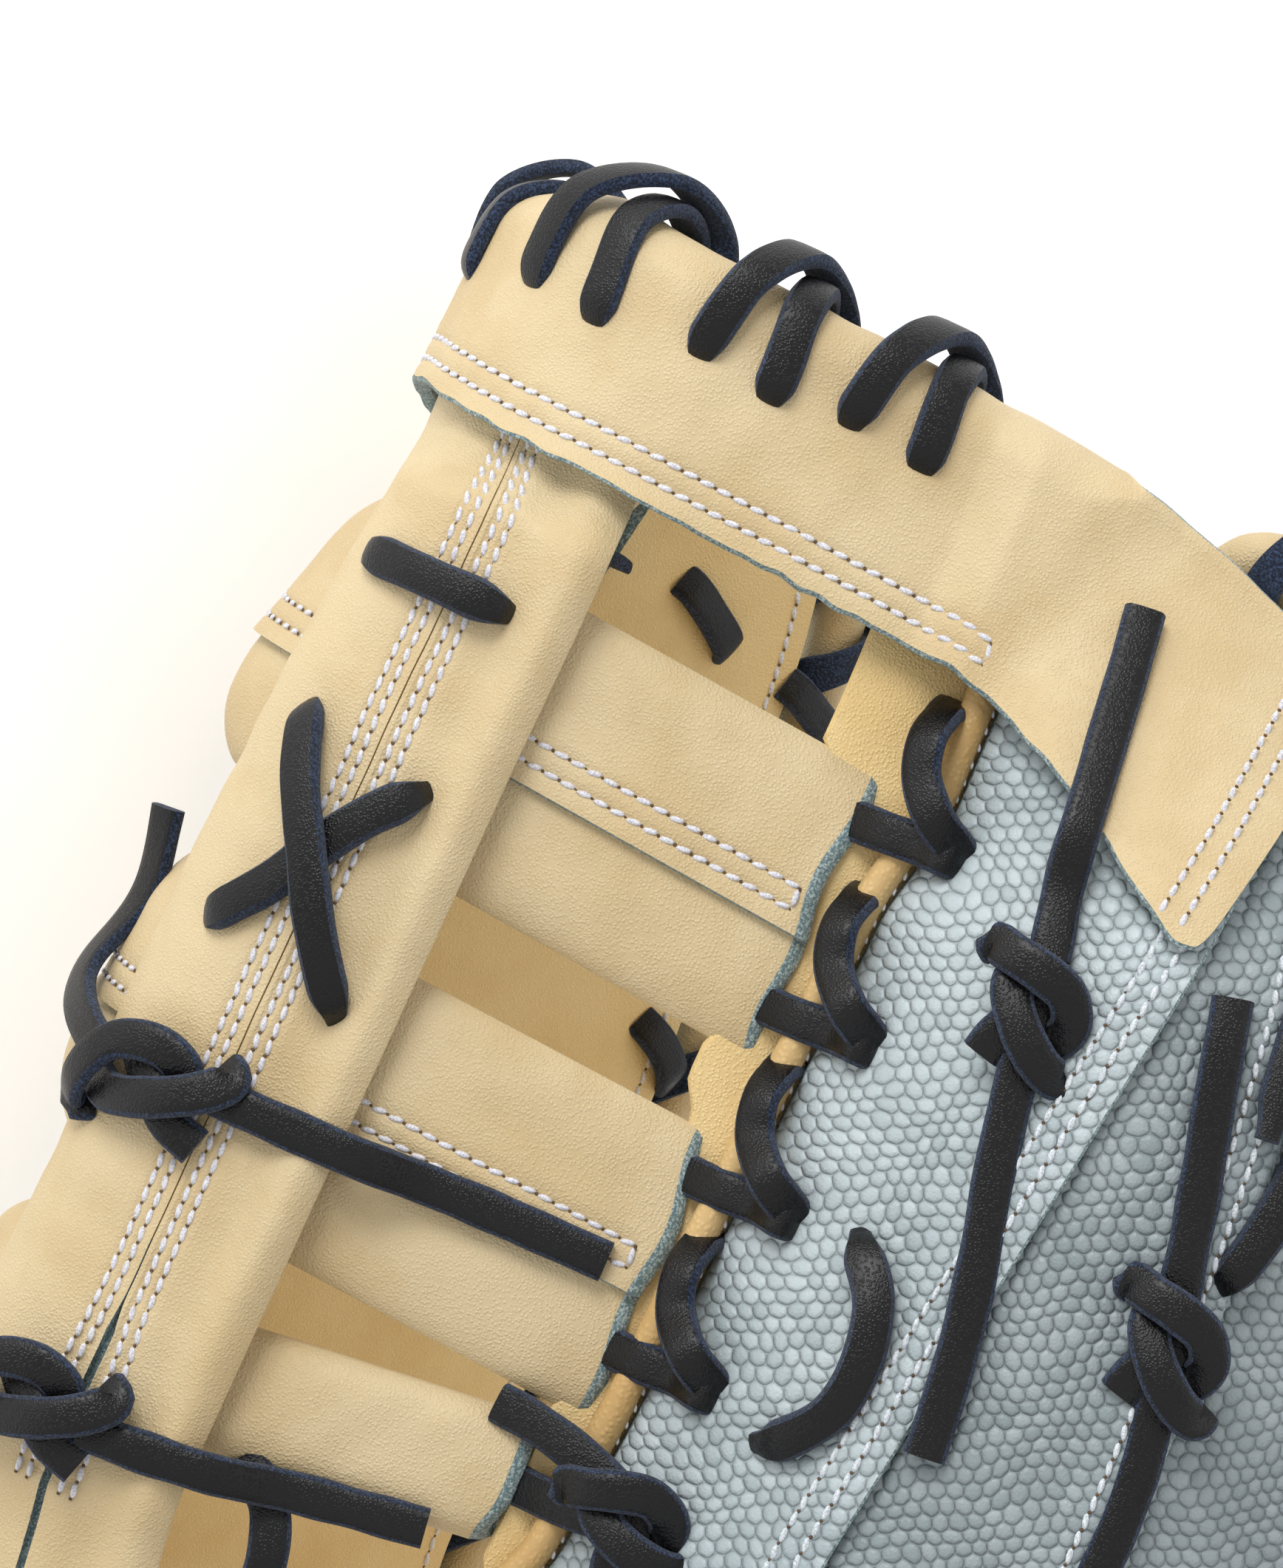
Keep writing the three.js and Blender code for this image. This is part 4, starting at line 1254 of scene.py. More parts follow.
BLOND = SmoothLeather("blond_hide", colour(217, 199, 159), colour(206, 184, 140), colour(152, 112, 66))
PIPING = SmoothLeather(
    "piping_hide", colour(214, 182, 126), colour(198, 162, 104), colour(150, 110, 60), 0.7, 0.09)
# The palm's pocket face: blond hide lightened to lift the shade that falls inside the pocket, so partly its
# own colour and partly painted light.
POCKET = SmoothLeather("pocket_hide_painted_light", colour(238, 212, 154), colour(228, 198, 136), colour(164, 126, 76))
GREY = ScaledLeather("scaled_hide", colour(184, 195, 198), colour(156, 168, 171), colour(92, 102, 106))
# A darker copy of the scaled hide for the panels that turn away from the light: painted shade.
SHADED_GREY = ScaledLeather(
    "painted_shade_scaled_hide", colour(156, 166, 169), colour(132, 143, 146), colour(80, 89, 92))
LACE_GRAIN = SmoothLeather(
    "lace_grain", colour(11, 11, 14), colour(5, 5, 8), colour(2, 2, 4), 0.34, 0.07, 0.27, 0.36)
LACE_FLESH = CutLeather("lace_flesh", colour(54, 72, 102), colour(18, 25, 40), 0.3, 0.3)
RAW_EDGE = CutLeather("raw_edge", colour(196, 210, 208), colour(108, 132, 136), 0.34, 0.3)
FLESH = CutLeather("flesh_side", colour(160, 172, 170), colour(112, 124, 124), 0.5, 0.2)
THREAD = Thread("white_thread", colour(228, 227, 232), colour(182, 181, 190))
GREY_THREAD = Thread("grey_thread", colour(224, 229, 233), colour(172, 180, 187))
# Brown dots between the stitches: painted shade in the needle holes.
PAINTED_HOLE_SHADE = Thread("painted_hole_shade", colour(104, 78, 50), colour(70, 52, 34))


# Stitches

@dataclass(frozen=True)
class Mark:
    """Size and place of a mark that repeats along a row, in millimetres."""

    length: float
    width: float
    height: float
    shift: float = 0.0
    lift: float = 0.0
    tilt: float = 0.0
    uneven: float = 0.0


STITCH = Mark(1.96, 0.76, 0.62, tilt=10, lift=0.03, uneven=0.09)
# A small dark dot between two stitches that stands for the shade in a needle hole.
NEEDLE_SHADE_DOT = Mark(0.4, 0.5, 0.2, shift=SIZES.stitch_pitch / 2, lift=-0.03)


class MarkTree:
    """A node tree that repeats a rounded mark along rows drawn on the leather."""

    INPUTS = (
        ("Geometry", "NodeSocketGeometry"), ("Pitch", FLOAT), ("Size", VECTOR), ("Shift", VECTOR),
        ("Tilt", FLOAT), ("Uneven", FLOAT), ("Seed", "NodeSocketInt"), ("Material", "NodeSocketMaterial"))

    SEED = 5

    def __init__(self) -> None:
        """Builds the tree."""
        tree = self.tree = bpy.data.node_groups.new("marks_along_rows", "GeometryNodeTree")
        self.sockets = {
            name: tree.interface.new_socket(name, in_out="INPUT", socket_type=kind).identifier
            for name, kind in self.INPUTS}
        tree.interface.new_socket("Geometry", in_out="OUTPUT", socket_type="NodeSocketGeometry")
        nodes = Nodes(tree)
        given = tree.nodes.new("NodeGroupInput").outputs
        rows = nodes.add("GeometryNodeMeshToCurve", {0: given["Geometry"]})
        feeds = {0: rows.outputs[0], "Length": given["Pitch"]}
        spots = nodes.add("GeometryNodeResampleCurve", feeds, mode="LENGTH")
        out = nodes.add("GeometryNodeInputNamedAttribute", {0: "out"}, data_type="FLOAT_VECTOR")
        tangent = nodes.add("GeometryNodeInputTangent")
        turn = nodes.add("FunctionNodeAxesToRotation", {0: out.outputs[0], 1: tangent.outputs[0]},
                         primary_axis="Z", secondary_axis="X")
        feeds = {2: nodes.times(given["Uneven"], -1), 3: given["Uneven"], "Seed": given["Seed"]}
        wobble = nodes.add("FunctionNodeRandomValue", feeds, data_type="FLOAT")
        tilt = nodes.math("ADD", given["Tilt"], wobble.outputs[1])
        angle = nodes.add("ShaderNodeCombineXYZ", {2: tilt})
        euler = nodes.add("FunctionNodeEulerToRotation", {0: angle.outputs[0]})
        feeds = {0: turn.outputs[0], 1: euler.outputs[0]}
        turned = nodes.add("FunctionNodeRotateRotation", feeds, rotation_space="LOCAL")
        ball = nodes.add("GeometryNodeMeshUVSphere", {"Segments": 8, "Rings": 5, "Radius": 0.5})
        shaped = nodes.add("GeometryNodeTransform", {
            0: ball.outputs[0], "Translation": given["Shift"], "Scale": given["Size"]})
        laid = nodes.add("GeometryNodeInstanceOnPoints", {
            0: spots.outputs[0], "Instance": shaped.outputs[0], "Rotation": turned.outputs[0]})
        real = nodes.add("GeometryNodeRealizeInstances", {0: laid.outputs[0]})
        dressed = nodes.add("GeometryNodeSetMaterial", {0: real.outputs[0], "Material": given["Material"]})
        result = tree.nodes.new("NodeGroupOutput")
        tree.links.new(dressed.outputs[0], result.inputs[0])

    def lay(self, name: str, lines: Sequence[tuple[Array, Array]], mark: Mark, pitch: float,
            material: bpy.types.Material) -> bpy.types.Object:
        """Lays marks along rows.

        Args:
            name: The new piece's name.
            lines: Points in metres and outward directions of each row.
            mark: The mark to repeat.
            pitch: Distance between marks in millimetres.
            material: The marks' material.

        Returns:
            A plain mesh object.
        """
        mesh = bpy.data.meshes.new(name)
        points = np.concatenate([line[0] for line in lines])
        out = np.concatenate([line[1] for line in lines])
        edges, start = [], 0
        for spots, _ in lines:
            at = np.arange(start, start + len(spots) - 1)
            edges.append(np.stack([at, at + 1], 1))
            start += len(spots)
        mesh.from_pydata(points.tolist(), np.concatenate(edges).tolist(), [])
        outward = mesh.attributes.new("out", "FLOAT_VECTOR", "POINT")
        outward.data.foreach_set("vector", out.astype(np.float32).ravel())
        made = link(name, mesh)
        modifier = made.modifiers.new("marks", "NODES")
        modifier.node_group = self.tree
        values = {
            "Pitch": pitch * MM, "Size": [mark.length * MM, mark.width * MM, mark.height * MM],
            "Shift": [mark.shift * MM, 0.0, mark.lift * MM], "Tilt": math.radians(mark.tilt),
            "Uneven": mark.uneven, "Seed": self.SEED, "Material": material}
        for key, value in values.items():
            modifier[self.sockets[key]] = value
        graph = bpy.context.evaluated_depsgraph_get()
        result = bpy.data.meshes.new_from_object(made.evaluated_get(graph))
        made.modifiers.clear()
        made.data = result
        result.name = name
        result.polygons.foreach_set("use_smooth", np.ones(len(result.polygons), bool))
        return made


# Sub-assemblies

@dataclass
class Piece:
    """One piece of the mitt before it is dressed."""

    name: str
    made: bpy.types.Object
    finishes: tuple[Finish, ...] = ()
    slot: Slot | None = None
    nodes: tuple[str, ...] = ()


def lace_piece(name: str, body: Body, *nodes: str) -> Piece:
    """A piece of black lace, in place of the nodes given."""
    return Piece(name, body.make(name), (LACE_GRAIN, LACE_FLESH), Slot.LACE, nodes)


def wall_piece(name: str, node: str, body: Body, face: Finish = BLOND, inside: Finish = FLESH,
               sharp: float = 42) -> Piece:
    """A leather wall in place of a node.

    Args:
        name: The piece's name.
        node: The node that it stands for.
        body: Its mesh, with materials numbered as face, raw edge and inside.
        face: Finish of the outer face.
        inside: Finish of the inner face.
        sharp: Angle in degrees past which an edge stays sharp.

    Returns:
        The piece.
    """
    slot = Slot.GREY if isinstance(face, ScaledLeather) else Slot.BLOND
    return Piece(name, body.make(name, sharp), (face, RAW_EDGE, inside), slot, (node,))


Row = tuple[Array, Array]


class Workshop:
    """What every sub-assembly works with."""

    def __init__(self) -> None:
        """Builds the shared effects and the tree of marks."""
        self.effects = Effects()
        self.marks = MarkTree()

    def dress(self, piece: Piece) -> bpy.types.Object:
        """Gives a piece its finish and its place in the frame.

        Args:
            piece: The piece.

        Returns:
            Its object.
        """
        for finish in piece.finishes:
            piece.made.data.materials.append(finish.material(self.effects))
        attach(piece.made, "root")
        if piece.nodes:
            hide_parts(*piece.nodes)
        LOG.info("%s: %d faces", piece.name, len(piece.made.data.polygons))
        return piece.made

    def sew(self, name: str, rows: Sequence[Row], stitch: Mark = STITCH, thread: Finish = THREAD) -> None:
        """Sews rows of stitches, with dark dots of painted shade where their needle holes are.

        Args:
            name: What the rows belong to.
            rows: Points and outward directions of each row.
            stitch: The stitch's size.
            thread: The stitches' finish.
        """
        pitch = SIZES.stitch_pitch
        # The second mark is a dark dot of painted shade at each needle hole.
        for suffix, mark, finish in (("stitches", stitch, thread), ("hole_shade_dots", NEEDLE_SHADE_DOT, PAINTED_HOLE_SHADE)):
            label = f"{name}_{suffix}"
            material = finish.material(self.effects)
            self.dress(Piece(label, self.marks.lay(label, rows, mark, pitch, material)))


def surface_row(along: Array, across: Array, height: Array) -> Row:
    """A row of stitches on the leather: its points and outward directions."""
    return HIDE.place(along, across, height), HIDE.skin(along, across)[1]


class SubAssembly(ABC):
    """A group of pieces that are made and dressed together."""

    def __init__(self, shop: Workshop) -> None:
        """Takes the workshop to build in."""
        self.shop = shop

    @abstractmethod
    def build(self) -> list[Piece]:
        """Builds the meshes."""

    def trim(self) -> None:
        """Adds stitches and other small work once the pieces are dressed."""

    def dress(self) -> None:
        """Builds the pieces, dresses them and adds their trim."""
        for piece in self.build():
            self.shop.dress(piece)
        self.trim()


@dataclass(frozen=True)
class PalmSizes:
    """Steps of the palm's mesh and its seams' insets, in millimetres."""

    stations: int = 420
    across: int = 34
    rim_seam: float = 3.2
    web_seam: float = 3.4
    web_sewn_from: float = 150.0
    pocket_lip_to: float = 165.0


PALM_INNER = Table("along", "across", rows=(
    (16, 60), (24, 52), (30, 46), (49.5, 46), (52, 50.4), (82, 50.4), (85.5, 48.2), (90.5, 48.2),
    (94, 50.4), (128, 50.4), (131, 49.6), (150, 49.6), (156, 56), (160, 60)))


class Palm(SubAssembly):
    """The palm: one wall between the outline and the web's opening."""

    sizes = PalmSizes()

    def web_edge(self, shares: Array) -> Array:
        """The palm's inner edge, drawn in under the bars' ends on the finger side.

        Args:
            shares: Places round the web's outline, from 0 to 1.

        Returns:
            Rows of (along, across).
        """
        web = catmull(HIDE.web_rows, shares)[:, :2]
        inner = PALM_INNER.read("across", web[:, 0], 0.4)
        web[:, 1] = np.where(web[:, 1] > 0, np.minimum(web[:, 1], inner), web[:, 1])
        return web

    def spots(self, shares: Array, across: Array) -> tuple[Array, Array]:
        """Places along and across, from shares of the outline and from web to rim.

        Args:
            shares: Shares of the outline.
            across: Shares from web to rim.

        Returns:
            Places along and places across.
        """
        rim = HIDE.rim_point(shares, SIZES.rim_inset)
        web = self.web_edge(shares)
        spot = web[:, None] + (rim - web)[:, None] * across[None, :, None]
        return spot[..., 0], spot[..., 1]

    def build(self) -> list[Piece]:
        """Builds the palm's wall.

        Returns:
            The palm.
        """
        shares = np.linspace(0, 1, self.sizes.stations)
        along, across = self.spots(shares, np.linspace(0, 1, self.sizes.across))
        half = SIZES.palm_thick / 2
        uneven = 0.22 * ripple(np.stack([along, across], -1), 46, 3)
        outer = HIDE.place(along, across, half + uneven * 0.5)
        inner = HIDE.place(along, across, uneven - half)
        rings = wall_rings(outer, inner)
        body = Body()
        bands = wall_bands(self.sizes.across, 1, 2)
        bands = np.broadcast_to(bands, (len(rings) - 1, len(bands))).copy()
        # Under the bars the palm's web edge also takes the lightened pocket finish, painted light.
        under_bars = (across[:-1, 0] > 0) & (along[:-1, 0] < self.sizes.pocket_lip_to)
        bands[under_bars, :8] = 2
        bands[under_bars, -2:] = 2
        body.loft(rings, None, bands, 1)
        return [wall_piece("palm_leather", "palm", body, inside=POCKET)]

    def trim(self) -> None:
        """Sews the palm's two edges on the pocket side."""
        rows = []
        shares = np.linspace(0.02, 0.98, 700)
        half = SIZES.palm_thick / 2
        width = np.linalg.norm(HIDE.rim_point(shares, SIZES.rim_inset) - self.web_edge(shares), axis=1)
        for inset in (self.sizes.web_seam / width, 1 - self.sizes.rim_seam / width):
            rim = HIDE.rim_point(shares, SIZES.rim_inset)
            web = self.web_edge(shares)
            spot = web + (rim - web) * inset[:, None]
            if inset[0] < 0.5:
                spot = spot[spot[:, 0] > self.sizes.web_sewn_from]
            uneven = 0.22 * ripple(spot, 46, 3)
            points = HIDE.place(spot[:, 0], spot[:, 1], uneven - half)
            rows.append((points, -HIDE.skin(spot[:, 0], spot[:, 1])[1]))
        self.shop.sew("palm", rows)


@dataclass(frozen=True)
class BackSizes:
    """The backs' lapped seams in millimetres, and the steps of their meshes."""

    lap: float = 1.5
    under: float = 5.0
    first_row: float = 2.6
    second_row: float = 5.2
    slope: float = 0.128
    start: float = 0.67
    puff: Puff = Puff(0.3, 30, 0.12, 11, 17, 6)
    stations: int = 260
    at_crotch: int = 70
    across: int = 34


def back_stations(even: int, close: int) -> Array:
    """Places along a back, closer at its crotch.

    Args:
        even: How many even places.
        close: How many more at the crotch.

    Returns:
        Places along the mitt.
    """
    shares = [np.linspace(*SIZES.back, even), np.linspace(*SIZES.crotch, close)]
    return np.unique(np.concatenate(shares)) * SIZES.length


class Backs(SubAssembly):
    """The grey backs of the finger stall and the thumb stall, lapped panel over panel."""

    sizes = BackSizes()

    def index_seam(self, along: Array, edge: Array, rim: Array) -> Array:
        """Seam between the index and middle panels, as a share from the inner edge to the rim."""
        place = self.sizes.start * SIZES.finger_reach - self.sizes.slope * along
        return np.clip((place - edge) / (rim - edge), 0.3, 0.6)

    def middle_seam(self, along: Array, edge: Array, rim: Array) -> Array:
        """Seam between the middle and outer panels."""
        return (1 + self.index_seam(along, edge, rim)) / 2

    def thumb_seam(self, along: Array, edge: Array, rim: Array) -> Array:
        """Seam down the middle of the thumb's back."""
        return np.full_like(along, 0.5)

    def panel(self, side: Side, start: Callable | None, end: Callable | None) -> Body:
        """One panel between two seams, lapped over the next one.

        Args:
            side: The side of the mitt.
            start: Seam on its inner side, or nothing at the back's edge.
            end: Seam on its outer side, or nothing at the rim.

        Returns:
            The panel's body.
        """
        along = back_stations(self.sizes.stations, self.sizes.at_crotch)
        edge, rim = HIDE.edges(side, along)
        width = rim - edge
        low = start(along, edge, rim) - self.sizes.under / width if start else np.zeros_like(along)
        high = end(along, edge, rim) if end else np.ones_like(along)
        steps = np.linspace(0, 1, self.sizes.across)
        w = low[:, None] + (high - low)[:, None] * steps
        far = edge[:, None] + width[:, None] * w
        height = HIDE.back_height(side, along[:, None], w)
        spot = np.stack(np.broadcast_arrays(along[:, None], far), -1)
        height = height + self.sizes.puff.at(spot)
        if end:
            past = far - (edge + width * high)[:, None]
            height += self.sizes.lap * ease(past, *SIZES.lap_rises)
        if start:
            seam = (edge + width * start(along, edge, rim))[:, None]
            height -= 0.5 * ease(far, seam + 6, seam - 1)
        across = far * side.sign
        outer = HIDE.place(along[:, None], across, height)
        inner = HIDE.place(along[:, None], across, height - SIZES.back_thick * 0.8)
        body = Body()
        body.loft(wall_rings(outer, inner), wall_values(spot), wall_bands(self.sizes.across, 1, 2), 1)
        return body

    def build(self) -> list[Piece]:
        """Builds the five panels.

        Returns:
            The panels, from the web's side out.
        """
        # The finger stall's middle and outer panels and the thumb's outer panel take the darker copy of the
        # scaled hide, painted shade.
        plans = (
            ("finger_back_index", FINGER, None, self.index_seam, GREY),
            ("finger_back_middle", FINGER, self.index_seam, self.middle_seam, SHADED_GREY),
            ("finger_back_outer", FINGER, self.middle_seam, None, SHADED_GREY),
            ("thumb_back_inner", THUMB, None, self.thumb_seam, GREY),
            ("thumb_back_outer", THUMB, self.thumb_seam, None, SHADED_GREY))
        return [wall_piece(f"{node}_leather", node, self.panel(side, start, end), grain)
                for node, side, start, end, grain in plans]

    def trim(self) -> None:
        """Sews two rows beside each lapped seam."""
        rows = []
        along = np.linspace(*SIZES.back_sewn, 600) * SIZES.length
        sewn = ((FINGER, self.index_seam), (FINGER, self.middle_seam), (THUMB, self.thumb_seam))
        for side, seam in sewn:
            edge, rim = HIDE.edges(side, along)
            width = rim - edge
            place = edge + width * seam(along, edge, rim)
            for inset in (self.sizes.first_row, self.sizes.second_row):
                far = place - inset
                spot = np.stack([along, far], -1)
                height = HIDE.back_height(side, along, (far - edge) / width) + self.sizes.puff.at(spot)
                height += self.sizes.lap * ease(far - place, *SIZES.lap_rises)
                rows.append(surface_row(along, far * side.sign, height + 0.05))
        self.shop.sew("back_seam", rows, thread=GREY_THREAD)


@dataclass(frozen=True)
class BindingSizes:
    """The bindings' stitch in millimetres, and the steps of their meshes."""

    stitch: Mark = Mark(1.2, 0.5, 0.5, tilt=22)
    sides: int = 14
    stations: int = 260
    at_crotch: int = 80


class Bindings(SubAssembly):
    """Rolled bindings along the backs' inner edges."""

    sizes = BindingSizes()

    def line(self, side: Side, along: Array, offset: float, lift: float) -> tuple[Array, Array, Array]:
        """Places along a back's inner edge.

        Args:
            side: The side of the mitt.
            along: Stations along it.
            offset: Distance towards the rim, in millimetres.
            lift: Height over the binding's middle.

        Returns:
            Along, across and height.
        """
        edge, _ = HIDE.edges(side, along)
        slope = np.gradient(edge, along) * side.sign
        bend = np.hypot(1, slope)
        spot = HIDE.back_height(side, along, 0)
        height = np.maximum(spot + SIZES.clear, HIDE.binding_top) - SIZES.binding_radius + lift
        away = (SIZES.binding_radius + 2 * SIZES.clear - offset) * side.sign
        return along + away * slope / bend, edge * side.sign - away / bend, height

    def build(self) -> list[Piece]:
        """Builds both bindings.

        Returns:
            The finger side's and the thumb side's.
        """
        made = []
        for side, node in ((FINGER, "finger_binding"), (THUMB, "thumb_binding")):
            along = back_stations(self.sizes.stations, self.sizes.at_crotch)
            a, s, h = self.line(side, along, 0, 0)
            points = smooth_columns(HIDE.place(a, s, h), 3)
            out = HIDE.skin(a, s)[1]
            forward = unit(np.gradient(points, axis=0))
            wide = unit(np.cross(forward, out))
            run = np.arange(len(points)) * 1.0
            uneven = 1 + 0.05 * ripple(np.stack([run, run * 0], 1), 14, 4)
            radius = SIZES.binding_radius * uneven[:, None]
            body = Body()
            body.loft(round_rings(points, wide, np.cross(wide, forward), radius, self.sizes.sides))
            name = f"{node}_roll"
            made.append(Piece(name, body.make(name), (PIPING,), Slot.BLOND, (node,)))
        return made

    def trim(self) -> None:
        """Sews the bindings to the backs."""
        rows = []
        for side in (FINGER, THUMB):
            along = np.linspace(*SIZES.back_sewn, 500) * SIZES.length
            a, s, h = self.line(side, along, SIZES.binding_radius * 0.95, SIZES.binding_radius * 0.2)
            rows.append((smooth_columns(HIDE.place(a, s, h), 3), HIDE.skin(a, s)[1]))
        self.shop.sew("binding", rows, self.sizes.stitch)


@dataclass(frozen=True)
class RimSizes:
    """Stretches of the rim as shares of the outline, and the steps of their meshes."""

    thumb: tuple[float, float] = (0.035, 0.42)
    heel: tuple[float, float] = (0.42, 0.6)
    finger: tuple[float, float] = (0.6, 0.965)
    sides: int = 18
    steps: int = 420
    turn_steps: int = 44
    lean: float = 0.16


class Rims(SubAssembly):
    """The padded roll round the outer edge and the lace wound round it."""

    sizes = RimSizes()

    def frames(self, shares: Array) -> tuple[Array, Array, Array]:
        """Middle of the roll, its direction away from the leather, and out of it.

        Args:
            shares: Places round the outline, from 0 to 1.

        Returns:
            Points in metres and two sets of unit vectors.
        """
        spot = HIDE.rim_point(shares, 0)
        points = HIDE.place(spot[:, 0], spot[:, 1], SIZES.rim_lift)
        run = unit(np.gradient(points, axis=0))
        out = HIDE.skin(spot[:, 0], spot[:, 1])[1]
        away = unit(np.cross(out, run))
        return points, away, out

    def stretches(self) -> tuple[tuple[str, tuple[float, float]], ...]:
        """The three stretches by name."""
        return (("thumb", self.sizes.thumb), ("heel", self.sizes.heel), ("finger", self.sizes.finger))

    def roll(self, start: float, end: float, seed: int) -> Body:
        """The padded roll of one stretch.

        Args:
            start: Where the stretch starts on the outline.
            end: Where it ends.
            seed: Fixes its unevenness.

        Returns:
            The roll's body.
        """
        steps = int(self.sizes.steps * (end - start))
        points, away, out = self.frames(np.linspace(start + 0.0004, end - 0.0004, steps))
        angle = np.linspace(0, 2 * math.pi, self.sizes.sides, endpoint=False)
        spot = np.stack(np.broadcast_arrays(np.arange(steps)[:, None] * 1.6, angle[None] * 3), -1)
        radius = SIZES.rim_radius * (1 + 0.035 * ripple(spot, 18, seed))
        body = Body()
        body.loft(round_rings(points, away, out, radius, self.sizes.sides))
        return body

    def winding(self, start: float, end: float, seed: int) -> Body:
        """One lace wound round a stretch.

        Args:
            start: Where the stretch starts on the outline.
            end: Where it ends.
            seed: Fixes its unevenness.

        Returns:
            The lace's body.
        """
        fine = self.frames(np.linspace(start, end, 240))[0]
        run = np.linalg.norm(np.diff(fine, axis=0), axis=1).sum() / MM
        turns = round(run / SIZES.rim_lace_pitch)
        margin = (end - start) / turns / 2
        count = turns * self.sizes.turn_steps
        share = np.linspace(0, 1, count)
        phase = share * turns
        lean = self.sizes.lean * np.sin(2 * math.pi * phase)
        shares = start + margin + (end - start - 2 * margin) * np.clip(share + lean / turns * 0.5, 0, 1)
        spot = HIDE.rim_point(shares, 0)
        centre = HIDE.place(spot[:, 0], spot[:, 1], SIZES.rim_lift)
        ahead = HIDE.rim_point(np.minimum(shares + 0.002, 1), 0)
        run_dir = unit(HIDE.place(ahead[:, 0], ahead[:, 1], SIZES.rim_lift) - centre)
        out = HIDE.skin(spot[:, 0], spot[:, 1])[1]
        away = unit(np.cross(out, run_dir))
        reach = SIZES.rim_radius + 1.5 * SIZES.clear + SIZES.lace_thick / 2 + 0.25
        angle = phase * 2 * math.pi
        points = centre + (away * np.cos(angle)[:, None] + out * np.sin(angle)[:, None]) * reach * MM
        body = Body()
        add_lace(body, points, run_dir, seed=seed)
        return body

    def tip(self) -> list[Piece]:
        """The finger tip's end of the roll, tucked under the crown's tongue, with its last turn of lace.

        Returns:
            The roll's end and its lace.
        """
        spots = HIDE.rim_point(np.array([0.968, 0.98, 0.99, 1.0]), 0)
        route = [(a, s, SIZES.rim_lift) for a, s in spots]
        route += [(9.2, 86.4, 1.2), (10, 83.6, 0), (14, 78.5, -2)]
        rows = evenly(np.array(route), 0.9)
        points = HIDE.place(*rows.T)
        forward = unit(np.gradient(points, axis=0))
        out = HIDE.skin(rows[:, 0], rows[:, 1])[1]
        wide = unit(np.cross(out, forward))
        deep = np.cross(forward, wide)
        share = np.linspace(0, 1, len(points))
        radius = (SIZES.rim_radius * (1 - 0.35 * ease(share, 0.8, 1)))[:, None]
        pad = Body()
        pad.loft(round_rings(points, wide, deep, radius, self.sizes.sides))
        wound = Body()
        at = int(np.argmin(np.hypot(rows[:, 0] - 9.6, rows[:, 1] - 87.5)))
        turn = np.linspace(-0.3, 1.55, 70) * math.pi
        reach = (SIZES.rim_radius + 1.1) * MM
        ring = points[at] + (wide[at] * np.cos(turn)[:, None] + deep[at] * np.sin(turn)[:, None]) * reach
        ring = ring + forward[at] * np.linspace(-1.5, 1.5, 70)[:, None] * MM
        add_lace(wound, ring, np.broadcast_to(forward[at], ring.shape), thick=2.0, seed=77)
        return [Piece("finger_tip_pad", pad.make("finger_tip_pad"), (BLOND,), Slot.BLOND),
                lace_piece("finger_tip_winding", wound)]

    def build(self) -> list[Piece]:
        """Builds each stretch's roll and winding.

        Returns:
            The pieces, the tip's first.
        """
        made = self.tip()
        for seed, (label, (start, end)) in enumerate(self.stretches()):
            name = f"{label}_rim_pad"
            pad = self.roll(start, end, seed).make(name)
            made.append(Piece(name, pad, (BLOND,), Slot.BLOND, (f"{label}_rim_roll",)))
            wound = self.winding(start, end, seed)
            made.append(lace_piece(f"{label}_rim_winding", wound, f"{label}_rim_lace"))
        return made

    def trim(self) -> None:
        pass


@dataclass(frozen=True)
class CrownSizes:
    """The crown's seams, in millimetres from its raw edge, and the steps of its mesh."""

    first_row: float = 2.4
    second_row: float = 5.1
    rows_end: float = 57.5
    tongue_first: float = 2.4
    tongue_second: float = 5.0
    tongue_row: tuple[tuple[float, float], ...] = ((51.5, 91.5), (22.0, 96.8))
    groove: float = 0.34
    puff: Puff = Puff(0.3, 26, 0.1, 9, 41)
    near_steps: int = 34
    bend_steps: int = 18
    far_steps: int = 14


